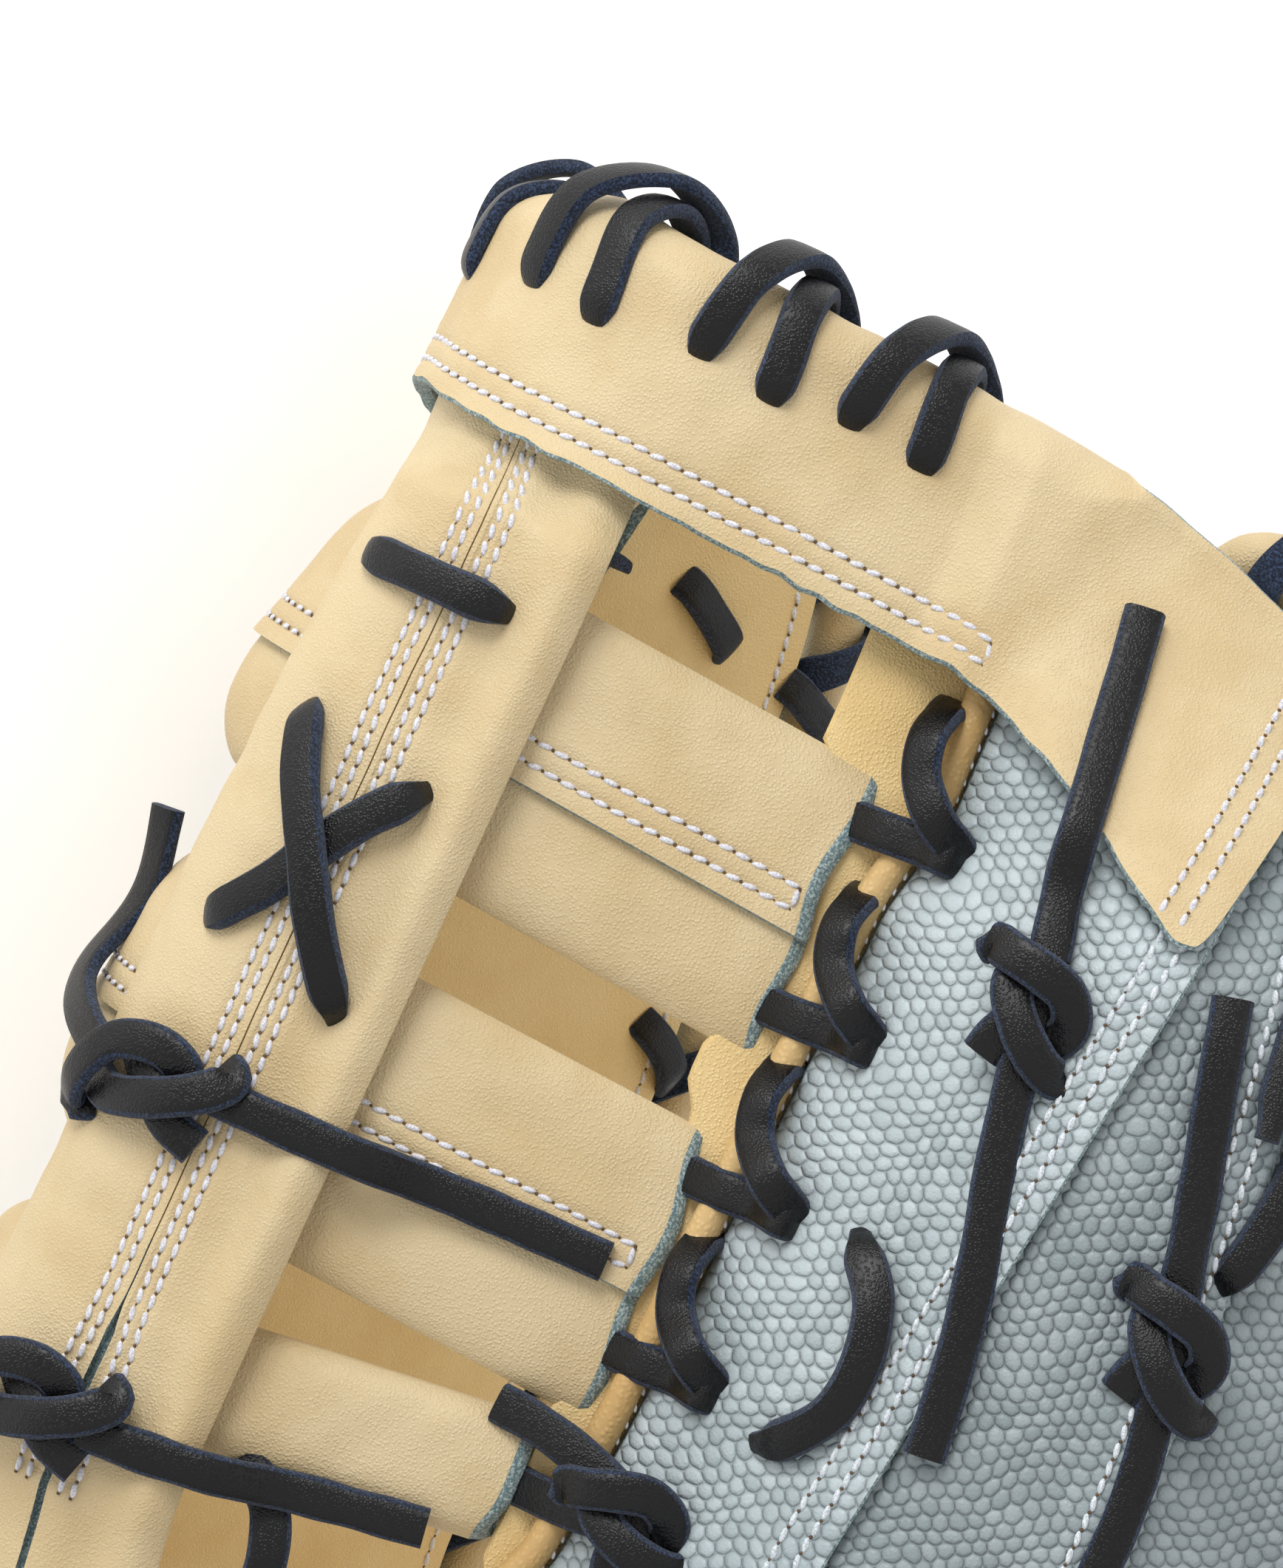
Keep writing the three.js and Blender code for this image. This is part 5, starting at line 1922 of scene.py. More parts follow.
class Crown(SubAssembly):
    """The folded top band with its tongues."""

    sizes = CrownSizes()

    def near_height(self, along: Array, across: Array) -> Array:
        """Middle height of the near leg.

        Args:
            along: Places along the mitt.
            across: Places across it.

        Returns:
            Heights in millimetres.
        """
        total = 0
        offsets = (-2.4, -1.2, 0, 1.2, 2.4)
        for offset in offsets:
            under = [HIDE.over(along, across + offset + d) for d in (-3, 0, 3)]
            under.append(HIDE.over(along + 4, across + offset))
            total = total + np.max(under, axis=0)
        return total / len(offsets) + 2 * SIZES.clear + SIZES.crown_thick / 2

    def stations(self) -> Array:
        """Places across, closer at the tongues.

        Returns:
            Places across the mitt.
        """
        thumb = -SIZES.tongue_reach * SIZES.thumb_reach / SIZES.finger_reach
        even = np.linspace(thumb, SIZES.tongue_reach, 300)
        close = np.linspace(SIZES.tongue_reach * 0.88, SIZES.tongue_reach, 60)
        return np.unique(np.concatenate([even, close, -close * SIZES.thumb_reach / SIZES.finger_reach]))

    def build(self) -> list[Piece]:
        """Builds the crown as one folded wall.

        Returns:
            The crown.
        """
        s = SIZES
        across = self.stations()
        half = s.crown_thick / 2
        top, low = HIDE.crown_top(across), HIDE.crown_low(across)
        low = low + 0.25 * ripple(np.stack([across, across * 0], 1), 5, 31)
        folded = ease(np.abs(across), s.web_half * 1.15, s.web_half)
        legged = ease(np.abs(across), s.web_half * 0.98, s.web_half * 0.88)
        radius = 1 + (s.crown_half - 1) * folded
        sweep = math.pi * (0.12 + 0.88 * folded)
        start = top + radius + half
        seam = np.array([0, 0.5, 1.2, 1.9, 2.4, 2.9, 3.7, 4.5, 5.1, 5.7, 6.5])
        rest = np.linspace(0, 1, self.sizes.near_steps - len(seam) + 1)[1:]
        span = low - start
        near_run = np.minimum(seam[None], span[:, None] * seam[None] / seam[-1] * 0.8)
        last = near_run[:, -1:]
        run = np.concatenate([near_run, last + (span[:, None] - last) * rest[None, :]], 1)[:, :-1]
        along = low[:, None] - run
        height = self.near_height(along, across[:, None])
        lean = np.zeros_like(along)
        top_height = height[:, -1:]
        turn = np.linspace(0, 1, self.sizes.bend_steps + 1)[None]
        angle = sweep[:, None] * turn
        drop = (top_height - radius[:, None]) * (1 - folded[:, None] * turn)
        bend_along = start[:, None] - np.sin(angle) * radius[:, None]
        bend_height = drop + np.cos(angle) * radius[:, None]
        leg = ((low - start - 4) * legged + 0.6)[:, None]
        step = np.linspace(0, 1, self.sizes.far_steps + 1)[None, 1:]
        far_along = bend_along[:, -1:] - np.cos(sweep)[:, None] * leg * step
        far_height = bend_height[:, -1:] - np.sin(sweep)[:, None] * leg * step
        along = np.concatenate([along, bend_along, far_along], 1)
        height = np.concatenate([height, bend_height, far_height], 1)
        lean = np.concatenate([lean, angle, np.broadcast_to(sweep[:, None], far_along.shape)], 1)
        spread = np.broadcast_to(across[:, None], along.shape)
        spot = np.stack([along, spread], -1)
        puff = self.sizes.puff.at(spot)
        raw_run = np.concatenate([run, np.full((len(across), along.shape[1] - run.shape[1]), 99)], 1)
        sewn = spread < self.sizes.rows_end + 1
        rows = (self.sizes.first_row, self.sizes.second_row)
        groove = sum(bump_at(raw_run, row, 0.5) for row in rows) * sewn
        faces = []
        for offset, extra in ((half, puff - self.sizes.groove * groove), (-half, 0 * puff)):
            out = offset + extra
            faces.append(HIDE.place(along - np.sin(lean) * out, spread, height + np.cos(lean) * out))
        rings = wall_rings(*faces)
        body = Body()
        body.loft(rings, None, wall_bands(along.shape[1], 1, 2), 1, wall_values(np.exp(-raw_run / 0.8)))
        return [wall_piece("crown_leather", "web_crown", body)]

    def row(self, across: Array, inset: Places) -> Row:
        """A row of stitches at an inset from the raw lower edge."""
        along = HIDE.crown_low(across) - inset
        return surface_row(along, across, self.face(along, across) - self.sizes.groove * 0.8)

    def face(self, along: Array, across: Array) -> Array:
        """Height of the near leg's outer face."""
        spot = np.stack([along, across], -1)
        return self.near_height(along, across) + SIZES.crown_thick / 2 + self.sizes.puff.at(spot)

    def trim(self) -> None:
        """Sews the rows along the raw edge and beside the tongue's end."""
        end = self.sizes.rows_end
        across = np.linspace(-end * 0.93, end, 400)
        first, second = self.sizes.first_row, self.sizes.second_row
        rows = [self.row(across, first), self.row(across, second)]
        middle = (first + second) / 2
        for close in (end + 1, -end * 0.93):
            rows.append(self.row(np.full(4, close), np.linspace(middle, middle + 0.2, 4)))
        (from_along, from_across), (to_along, to_across) = self.sizes.tongue_row
        for inset in (self.sizes.tongue_first, self.sizes.tongue_second):
            share = np.linspace(0, 1, 60)
            edge_across = from_across + (to_across - from_across) * share - inset
            along = from_along + (to_along - from_along) * share - inset * 0.2
            rows.append(surface_row(along, edge_across, self.face(along, edge_across)))
        self.shop.sew("crown", rows)


POST_LEFT = Table("along", "aside", rows=(
    (17, -9.2), (31, -9.6), (48, -11.4), (63, -12.7), (90, -13.8), (173, -14.2)))


@dataclass(frozen=True)
class PostSizes:
    """The post's rows, as places to each side of its butt seam, in millimetres."""

    rows: tuple[float, ...] = (-2.25, -1.1, 1.05, 2.2)
    seam: float = 0.3
    right: float = 15.4
    seam_half: float = 0.07
    open_half: float = 0.85
    opens: float = 138.0
    open_full: float = 149.0
    sewn_from: float = 26.0
    sewn_to: float = 161.0
    groove: float = 0.34
    fine: float = 4.0
    puff: Puff = Puff(0.32, 26, 0.12, 9, 51)


class Post(SubAssembly):
    """The single post down the web's middle."""

    sizes = PostSizes()

    def seam(self, along: Array) -> Array:
        """Place across of the butt seam."""
        return HIDE.seen(along, self.sizes.seam, HIDE.post_middle(along) + 1.9)

    def edges(self, along: Array) -> tuple[Array, Array]:
        """Places across of the post's two sides."""
        left = HIDE.seen(along, POST_LEFT.read("aside", along, 6), HIDE.post_middle(along) - 0.1)
        return left, np.full_like(along, self.sizes.right)

    def columns(self) -> Array:
        """Places across, as offsets from the seam and, past 4 mm, shares of the way to the side.

        Returns:
            The offsets in order.
        """
        fine = [row + step for row in self.sizes.rows for step in (-0.5, -0.27, 0, 0.27, 0.5)]
        by_seam = (-0.55, -0.4, 0.4, 0.55)
        rolled = self.sizes.fine + np.sin(np.linspace(0, math.pi / 2, 15))[1:]
        return np.array(sorted([*-rolled, -3.6, -3.1, *fine, *by_seam, 3.1, 3.6, *rolled]))

    def spread(self, along: Array, offsets: Array) -> Array:
        """Places across of the columns at each station.

        Args:
            along: Places along the mitt.
            offsets: What columns gives.

        Returns:
            Places across, a row for each station.
        """
        seam = self.seam(along)[:, None]
        left, right = (side[:, None] - seam for side in self.edges(along))
        fine = self.sizes.fine
        far = np.clip(np.abs(offsets) - fine, 0, 1)
        outer = np.where(offsets < 0, -fine + (left + fine) * far, fine + (right - fine) * far)
        return seam + np.where(np.abs(offsets) > fine, outer, offsets)

    def pressed(self, along: Array, across: Array) -> Array:
        """Half thickness of the post's roll.

        Args:
            along: Places along the mitt.
            across: Places across it.

        Returns:
            Half thicknesses in millimetres.
        """
        left, right = self.edges(along)
        share = (across - left[:, None]) / (right - left)[:, None]
        return SIZES.post_thick * pillow(np.clip(share, 0, 1))

    def top(self, along: Array, across: Array) -> Array:
        """Outer face of the post, without its butt seam.

        Args:
            along: Places along the mitt.
            across: Places across it.

        Returns:
            Heights in millimetres.
        """
        height = HIDE.post_middle(along)[:, None] + self.pressed(along, across)
        spot = np.stack(np.broadcast_arrays(along[:, None], across), -1)
        sizes = self.sizes
        sewn = ease(along, sizes.sewn_to + 1, sizes.sewn_to - 1)[:, None]
        away = across - self.seam(along)[:, None]
        valley = 0.4 * bump_at(away, 0, 3.6)
        groove = sum(bump_at(away, row, 0.34) for row in sizes.rows) * sizes.groove
        right = self.edges(along)[1][:, None]
        roll = 1.5 * bump_at(across, right - 3.4, 3.2) - 1.05 * bump_at(across, right - 7.6, 2.4)
        return height + self.sizes.puff.at(spot) + roll - (groove + valley) * sewn

    def build(self) -> list[Piece]:
        """Builds the post with its butt seam cut in.

        Returns:
            The post.
        """
        sizes = self.sizes
        along = np.linspace(0.055 * SIZES.length, SIZES.post_end, 340)
        offsets = self.columns()
        at = int(np.searchsorted(offsets, 0))
        opened = ease(along, sizes.opens, sizes.open_full)
        gap = sizes.seam_half + (sizes.open_half - sizes.seam_half) * opened
        spread = self.spread(along, offsets)
        cut = self.seam(along)[:, None] + gap[:, None] * np.array([-1, -0.7, 0.7, 1])
        spread = np.concatenate([spread[:, :at], cut, spread[:, at:]], 1)
        height = self.top(along, spread)
        height[:, at + 1:at + 3] -= 1.6
        under = HIDE.post_middle(along)[:, None] - self.pressed(along, spread)
        outer = HIDE.place(along[:, None], spread, height)
        inner = HIDE.place(along[:, None], spread, under)
        rings = np.concatenate([outer, inner[:, ::-1]], 1)
        bands = np.zeros((len(along) - 1, rings.shape[1]), int)
        bands[along[1:] > sizes.opens - 6, at:at + 3] = 1
        body = Body()
        body.loft(rings, None, bands, 1)
        leather = body.make("post_leather", 60)
        return [Piece("post_leather", leather, (BLOND, RAW_EDGE), Slot.BLOND, ("web_post",))]

    def trim(self) -> None:
        """Sews the post's four rows."""
        rows = []
        sizes = self.sizes
        along = np.linspace(sizes.sewn_from, sizes.sewn_to, 320)
        for row in sizes.rows:
            away = np.sign(row) * sizes.open_half * 0.6 * ease(along, sizes.opens, sizes.open_full)
            across = self.seam(along) + row + away
            height = self.top(along, across[:, None])[:, 0]
            rows.append(surface_row(along, across, height + 0.1))
        self.shop.sew("post", rows)


@dataclass(frozen=True)
class BarPlan:
    """One bar of the web: its sizes in millimetres and its lapped seam."""

    node: str
    middle: float
    width: float
    half: float
    slope: float
    seam: float | None
    seed: int


@dataclass(frozen=True)
class BarSizes:
    """The bars' leather, seams and lumps, in millimetres."""

    leather: float = 2.1
    step: float = 0.5
    rows: tuple[float, float] = (2.5, 5.1)
    groove: float = 0.32
    lump: float = -22.5
    lump_high: float = 3.9
    lump_half: float = 9.0


class Bars(SubAssembly):
    """The web's rolled bars."""

    PLANS = (
        BarPlan("web_bar_upper", SIZES.upper_bar, SIZES.bar_width, SIZES.bar_half, 0.08, 0.585, 61),
        BarPlan("web_bar_lower", SIZES.lower_bar, SIZES.bar_width, SIZES.bar_half, 0.06, 0.57, 67),
        BarPlan("web_base_bar", SIZES.base_bar, SIZES.base_bar_width, SIZES.bar_half * 0.92, -0.12, None, 71))
    sizes = BarSizes()

    def centre(self, plan: BarPlan, across: Array) -> Array:
        """The bar's middle along the mitt."""
        return plan.middle + plan.slope * (np.abs(across) if plan.slope < 0 else across)

    def top(self, plan: BarPlan, across: Array, v: Array) -> Array:
        """Height of the bar's outer face at a share of its width.

        Args:
            plan: The bar.
            across: Places across it.
            v: Shares of the bar's width.

        Returns:
            Heights in millimetres.
        """
        lobes = 0.55 * bump_at(v, 0.25, 0.3) + bump_at(v, 0.75, 0.31)
        s = self.sizes
        height = SIZES.bar_thick * pillow(v)
        height = height + s.lump_high * bump_at(across, s.lump, s.lump_half) * lobes
        spot = np.stack(np.broadcast_arrays(v * plan.width, across), -1)
        height = height + Puff(0.28, 20, 0.1, 8, plan.seed).at(spot)
        if plan.seam is not None:
            past = (v - plan.seam) * plan.width
            flap = self.sizes.step * ease(past, *SIZES.lap_rises)
            lower = -1.5 * self.sizes.step * np.exp(-np.maximum(past, 0) / 7)
            height = height + np.where(past <= 0, flap, lower)
            sewn = np.abs(across) < plan.half - 2
            height -= self.sizes.groove * sewn * sum(bump_at(past, -row, 0.42) for row in self.sizes.rows)
        return height

    def shares(self, plan: BarPlan) -> Array:
        """Places across the bar's width, closer at its seam and its rolled edges.

        Args:
            plan: The bar.

        Returns:
            Shares of its width, in order.
        """
        even = (1 - np.cos(np.linspace(0, math.pi, 40))) / 2
        if plan.seam is None:
            return even
        steps = (-0.6, -0.3, 0, 0.3, 0.6)
        fine = [plan.seam - (row + step) / plan.width for row in self.sizes.rows for step in steps]
        kept = [v for v in even if not -6.2 / plan.width < v - plan.seam < 0.6 / plan.width]
        edge = [plan.seam + step / plan.width for step in (-0.5, -0.12, 0.12)]
        return np.array(sorted([*kept, *fine, *edge]))

    def bar(self, plan: BarPlan) -> Piece:
        """One bar: a rolled tube with cut ends.

        Args:
            plan: The bar.

        Returns:
            The piece.
        """
        count = 230
        u = np.linspace(-1, 1, count)
        v = self.shares(plan)
        contour_v = np.concatenate([v, v[::-1][1:-1]])
        face = np.concatenate([np.ones(len(v)), -np.ones(len(v) - 2)])
        wave = 1.5 * ripple(np.stack([contour_v * 24, face * 5], 1), 13, plan.seed + 5)
        length = plan.half + wave * 0.8 - 0.6
        across = u[:, None] * length[None]
        top = self.top(plan, across, np.broadcast_to(contour_v, across.shape))
        bottom = -SIZES.bar_thick * pillow(contour_v)[None] * np.ones_like(across)
        height = np.where(face > 0, top, bottom)
        along = self.centre(plan, across) + plan.width * (contour_v - 0.5)
        shrink = 1 - 2 * self.sizes.leather / plan.width
        inner_along = self.centre(plan, across) + plan.width * shrink * (contour_v - 0.5)
        level = np.maximum(np.abs(height) - self.sizes.leather, 0.12 * pillow(contour_v) * 2)
        outer = HIDE.place(along, across, height)
        inner = HIDE.place(inner_along, across, np.sign(height) * level)
        seam = plan.seam or -1
        crosses = (face[:-1] > 0) & (contour_v[:-1] < seam) & (contour_v[1:] > seam)
        body = Body()
        self.tube(body, outer, inner, np.flatnonzero(crosses))
        return wall_piece(f"{plan.node}_leather", plan.node, body, sharp=48)

    def tube(self, body: Body, outer: Array, inner: Array, raw: Array) -> None:
        """Adds a tube with open ends: outer face out, over the cut end and back inside.

        Args:
            body: What it is added to.
            outer: Outer points as (station, round, xyz).
            inner: Inner points in the same places.
            raw: Columns of the outer face that show a raw edge.
        """
        lip = []
        for at, step in ((-1, -2), (0, 1)):
            push = unit(outer[at] - outer[step]) * 0.35 * MM
            through = inner[at] - outer[at]
            lip.append(np.stack([
                outer[at] + through * 0.13 + push * 3, outer[at] + through * 0.5 + push * 4.8,
                inner[at] - through * 0.1 + push * 3]))
        rings = np.concatenate([outer, lip[0], inner[::-1], lip[1][::-1]])
        rows, columns = rings.shape[:2]
        bands = np.zeros((rows, columns), int)
        bands[:, raw] = 1
        count = len(outer)
        bands[count - 1:count + 3] = 1
        bands[count + 3:rows - 4] = 2
        bands[rows - 4:] = 1
        body.loft(rings, None, bands, closed=True)

    def build(self) -> list[Piece]:
        """Builds the three bars."""
        return [self.bar(plan) for plan in self.PLANS]

    def trim(self) -> None:
        """Sews the lapped seams, closed at the finger end."""
        rows = []
        for plan in self.PLANS:
            if plan.seam is None:
                continue
            end = plan.half - 3.2
            across = np.linspace(-end, end, 300)
            for row in self.sizes.rows:
                v = np.full_like(across, plan.seam - row / plan.width)
                rows.append(self.bar_row(plan, across, v))
            middle = sum(self.sizes.rows) / 2
            for close in (end + 1, -end - 1):
                v = plan.seam - np.linspace(middle, middle + 0.2, 4) / plan.width
                rows.append(self.bar_row(plan, np.full(4, close), v))
        self.shop.sew("bar", rows)

    def bar_row(self, plan: BarPlan, across: Array, v: Array) -> Row:
        """A row of stitches on a bar."""
        along = self.centre(plan, across) + plan.width * (v - 0.5)
        return surface_row(along, across, self.top(plan, across, v) + 0.08)


@dataclass(frozen=True)
class StrapSizes:
    """The strap's ends as shares of each side's reach, and the steps of its mesh."""

    finger_end: float = 0.57
    thumb_end: float = -0.52
    stations: int = 220
    across: int = 22


class Strap(SubAssembly):
    """The wrist strap over the hand's opening."""

    sizes = StrapSizes()

    def height(self, along: Array, across: Array) -> Array:
        """Inner face of the strap.

        Args:
            along: Places along the mitt.
            across: Places across it.

        Returns:
            Heights in millimetres.
        """
        s = SIZES
        open_top = max(float(HIDE.back_height(side, s.strap_place, 0)) for side in (FINGER, THUMB))
        found = np.zeros(np.broadcast(along, across).shape)
        for side in (FINGER, THUMB):
            edge, _ = HIDE.edges(side, along)
            limit = s.seat - THUMB.strap + s.strap_thick * ease(across, 0, edge)
            under = np.where(np.abs(across) < edge + 8, np.minimum(open_top + s.clear, limit), 0)
            here = (across < 0) == (side.sign < 0)
            found = np.where(here, under, found)
        over = np.maximum(HIDE.over(along, across), HIDE.over(along, across + 4))
        return np.maximum(over, found) + 3 * s.clear

    def build(self) -> list[Piece]:
        """Builds the strap as a flat wall.

        Returns:
            The strap.
        """
        s = SIZES
        thumb, finger = s.thumb_reach * self.sizes.thumb_end, s.finger_reach * self.sizes.finger_end
        across = np.linspace(thumb, finger, self.sizes.stations)[:, None]
        along = s.strap_place + s.strap_width * (np.linspace(0, 1, self.sizes.across)[None] - 0.5)
        height = smooth_columns(self.height(along, across), 6)
        outer = HIDE.place(along, across, height + s.strap_thick * 0.95)
        inner = HIDE.place(along, across, height + 0.05)
        body = Body()
        flat = np.stack(np.broadcast_arrays(along, across), -1)
        body.loft(wall_rings(outer, inner), wall_values(flat), wall_bands(self.sizes.across, 1, 2), 1)
        return [wall_piece("strap_leather", "wrist_strap", body, GREY)]

    def trim(self) -> None:
        """Sews round the strap."""
        s = SIZES
        thumb, finger = s.thumb_reach * self.sizes.thumb_end + 3, s.finger_reach * self.sizes.finger_end - 3
        across = np.linspace(thumb, finger, 300)[:, None]
        along = s.strap_place + s.strap_width * (np.array([[0.1, 0.9]]) - 0.5)
        height = smooth_columns(self.height(along, across), 6) + s.strap_thick
        spots = np.broadcast_arrays(along, across)
        rows = [surface_row(spots[0][:, k], spots[1][:, k], height[:, k]) for k in (0, 1)]
        self.shop.sew("strap", rows)


@dataclass(frozen=True)
class CrownLaceSizes:
    """The pairs' middles and half gaps as shares of the web's half width, and their holes' place."""

    pairs: tuple[tuple[float, float], ...] = (
        (-0.66, 0.075), (-0.33, 0.075), (0.03, 0.065), (0.34, 0.075), (0.65, 0.077))
    hole: float = 16.2
    second_hole: float = 17.4


class CrownLacing(SubAssembly):
    """Pairs of lace legs over the crown's folded edge."""

    sizes = CrownLaceSizes()
    ARCH = ((0, 0), (0.3, 0.4), (2.2, 2.0), (7, 3.1), (12.5, 2.0), (15.5, 0.3))
    TUCKED = ((0, 0), (0, 0), (-0.2, 0.1), (0.6, 0.2), (1.5, 0.2), (2, 0))

    def build(self) -> list[Piece]:
        """Builds each pair: an arch over the fold and a leg tucked under it.

        Returns:
            The five pairs.
        """
        made = []
        for at, (middle, spread) in enumerate(self.sizes.pairs):
            left, right = ((middle + side * spread) * SIZES.web_half for side in (-1, 1))
            top = float(HIDE.crown_top(middle * SIZES.web_half))
            fold = top + SIZES.crown_half + SIZES.crown_thick / 2
            reach = SIZES.crown_half + SIZES.crown_thick / 2 + SIZES.lace_thick / 2 + 0.35
            body = Body()
            arch = [(left + step, extra) for step, extra in self.ARCH]
            tucked = [(right + step, extra) for step, extra in self.TUCKED]
            self.leg(body, fold, reach, self.sizes.hole, arch, at)
            self.leg(body, fold, reach, self.sizes.second_hole, tucked, at + 9)
            made.append(lace_piece(f"crown_pair_{at + 1}", body, f"crown_lace_{at + 1}"))
        return made

    def leg(self, body: Body, fold: float, reach: float, hole: float,
            plan: Sequence[tuple[float, float]], seed: int) -> None:
        """Adds one leg from its hole on the near face to its hole on the far face.

        Args:
            body: What it is added to.
            fold: The fold's axis along the mitt.
            reach: The leg's distance from that axis where it lies on the leather.
            hole: Place of the near hole along the mitt.
            plan: Place across and extra distance at six turns round the fold.
            seed: Fixes its unevenness.
        """
        (a0, _), (a1, e1), (a2, e2), (a3, e3), (a4, e4), (a5, e5) = plan
        route = [(hole, a0, reach - 2.6), (hole - 1.6, a0, reach - 0.5),
                 (fold + (hole - fold) * 0.35, a1, reach + e1)]
        for turn, across, extra in ((35, a2, e2), (88, a3, e3), (135, a4, e4)):
            angle = math.radians(turn)
            far = reach + extra
            route.append((fold - math.sin(angle) * far, across, math.cos(angle) * far))
        route += [(fold + 1, a5, -reach - e5), (hole - 2, a5, -reach), (hole, a5, -reach + 2.6)]
        points, side = strand(route, Lay.ROUND_FOLD, step=0.5)
        run = np.linspace(0, 1, len(points))
        pinch = 0.55 + 0.45 * ease(run, 0, 0.09) * ease(run, 1, 0.91)
        add_lace(body, points, side, SIZES.lace_width * pinch, SIZES.lace_thick * 1.15, seed)


@dataclass(frozen=True)
class WebLaceSizes:
    """The holes at the backs' edges: places along the mitt and distance across, in millimetres."""

    holes: tuple[float, ...] = (55.3, 78.5, 99.6, 121.0)
    reach: float = 64.0
    thick: float = 2.1


class WebLacing(SubAssembly):
    """Laces through the bars' ends and the backs' edges, and the post's own laces."""

    sizes = WebLaceSizes()
    LYING = {
        "post_cross_lace": (
            (51, -11.2, -3.4), (51, -9.6, -0.6), (51, -6, 0.3), (51, -1, 0.45), (51, 3, 0.3),
            (51, 5.8, -0.6), (51, 7.2, -3.4)),
        "post_x_lace_under": (
            (96.5, -10.4, -3.2), (95, -8.4, -0.4), (90, -4.4, 0.1), (84, -1, 0.1), (78, 3, 0.2),
            (74.4, 6.2, -0.5), (73, 7.6, -3)),
        "post_x_lace_over": (
            (69.4, -9.6, -3), (71, -8.4, -0.3), (77, -5.4, 1.6), (84, -1.4, 2.3), (92, 3, 1.8),
            (98.4, 7.4, -0.2), (100.4, 9, -3)),
        "finger_j_lace": (
            (97.6, 72.2, -3.4), (99, 73, -0.4), (103, 76, 0.9), (109.5, 77.6, 1.2), (116, 77, 0.9),
            (121.8, 73.2, -0.4), (123.2, 71.4, -3.4)),
        "finger_curved_lace": (
            (61.6, 111, -3), (63.7, 111.3, -0.4), (70, 112.6, 0.7), (78, 112, 0.7),
            (84.6, 110.4, -0.4), (86, 109.6, -3)),
        "finger_square_end": ((48.6, 104.8, 0.4), (54, 105.8, 0.5), (60, 106.6, 0.7), (69, 107.6, 1.8)),
    }
    POCKET = (
        ((37.4, -71.5, -1.2), (38, -73, -2.5), (40, -78, -2.8), (42.4, -83.6, -2.5), (43, -85, -1.2)),
        ((43.4, -97, -1.2), (44, -99, -2.6), (45.6, -104, -2.9), (46.6, -108, -2.4), (47, -110, -1)),
        ((89.6, -104.6, -1.2), (90.4, -106, -2.6), (92, -109, -3.4), (94.4, -112, -3.4), (96, -114.6, -1)))
    CROTCH = ((150, 20, 2), (154, 25, 3.4), (160, 27, 4), (166, 26, 2.4), (171, 24, 0.4), (175, 23, -1.5))

    def pocket_lace(self) -> Piece:
        """The short runs of lace that show on the thumb side, through the web's windows.

        Returns:
            One piece of three runs.
        """
        body = Body()
        for seed, route in enumerate(self.POCKET):
            points, side = strand(route, step=0.5)
            add_lace(body, points, -side, seed=seed + 40)
        return lace_piece("pocket_lace_strip", body)

    def single(self, node: str, route: Sequence[Sequence[float]], seed: int) -> Piece:
        """One lace as a piece of its own.

        Args:
            node: The node that it stands for.
            route: Rows of along, distance seen from the axis, and lift.
            seed: Fixes its unevenness.

        Returns:
            The piece.
        """
        seen = [(a, float(HIDE.seen(a, s, 9)), lift) for a, s, lift in route]
        points, side = strand(seen, on=lying_height, step=0.5)
        body = Body()
        away = np.minimum(np.arange(len(points)), np.arange(len(points))[::-1]) * 0.5
        width = SIZES.lace_width * (0.58 + 0.42 * ease(away, 0.5, 5.0))
        add_lace(body, points, side, width, thick=self.sizes.thick, seed=seed)
        return lace_piece(f"{node}_strip", body, node)

    def side_lace(self, side: Side, node: str) -> Piece:
        """The lacing down one side: flat to each hole, then twisted back round the binding.

        Args:
            side: The side of the mitt.
            node: The node that it stands for.

        Returns:
            The piece.
        """
        body = Body()
        for at, hole in enumerate(self.sizes.holes):
            for route in self.hole_routes(hole):
                turned = [(a, s * side.sign, h, roll * side.sign) for a, s, h, roll in route]
                points, wide = strand(turned, step=0.5)
                add_lace(body, points, wide, seed=at * 3 + side.sign)
        return lace_piece(f"{node}_strip", body, node)

    def hole_routes(self, hole: float) -> tuple[Sequence[Sequence[float]], ...]:
        """The two strands at one hole: flat out of the bar's end, then twisted round the binding.

        Args:
            hole: The hole's place along the mitt.

        Returns:
            Rows of along, across, height and roll for each strand.
        """
        reach = self.sizes.reach
        top = float(HIDE.over(hole, reach)) + 1.2
        flat = (
            (hole + 0.6, 45, 0.2, 0), (hole + 0.6, 50, 0.6, 0), (hole + 0.4, 56, 5.2, 0),
            (hole, 60.5, 7.4, 0), (hole, reach - 0.6, top + 0.7, 0), (hole, reach + 0.9, top - 0.4, 0),
            (hole, reach + 1.3, top - 3, 0))
        twist = (
            (hole + 0.6, reach + 0.4, top - 3, 0), (hole - 0.8, reach + 0.4, top - 0.2, 0),
            (hole - 3.2, reach - 3.6, top + 1.8, 8), (hole - 7, 57.0, 9.4, 22),
            (hole - 11, 55.9, 8.6, 34), (hole - 14.4, 56.6, 5.4, 42), (hole - 16, 57.8, 0.5, 46),
            (hole - 16.2, 58.6, -5, 48))
        return flat, twist

    def crotch_lace(self, side: Side, node: str) -> Piece:
        """Lace from the base bar to the palm's crotch.

        Args:
            side: The side of the mitt.
            node: The node that it stands for.

        Returns:
            The piece.
        """
        body = Body()
        points, wide = strand([(a, s * side.sign, h) for a, s, h in self.CROTCH])
        add_lace(body, points, wide, seed=5)
        return lace_piece(f"{node}_strip", body, node)

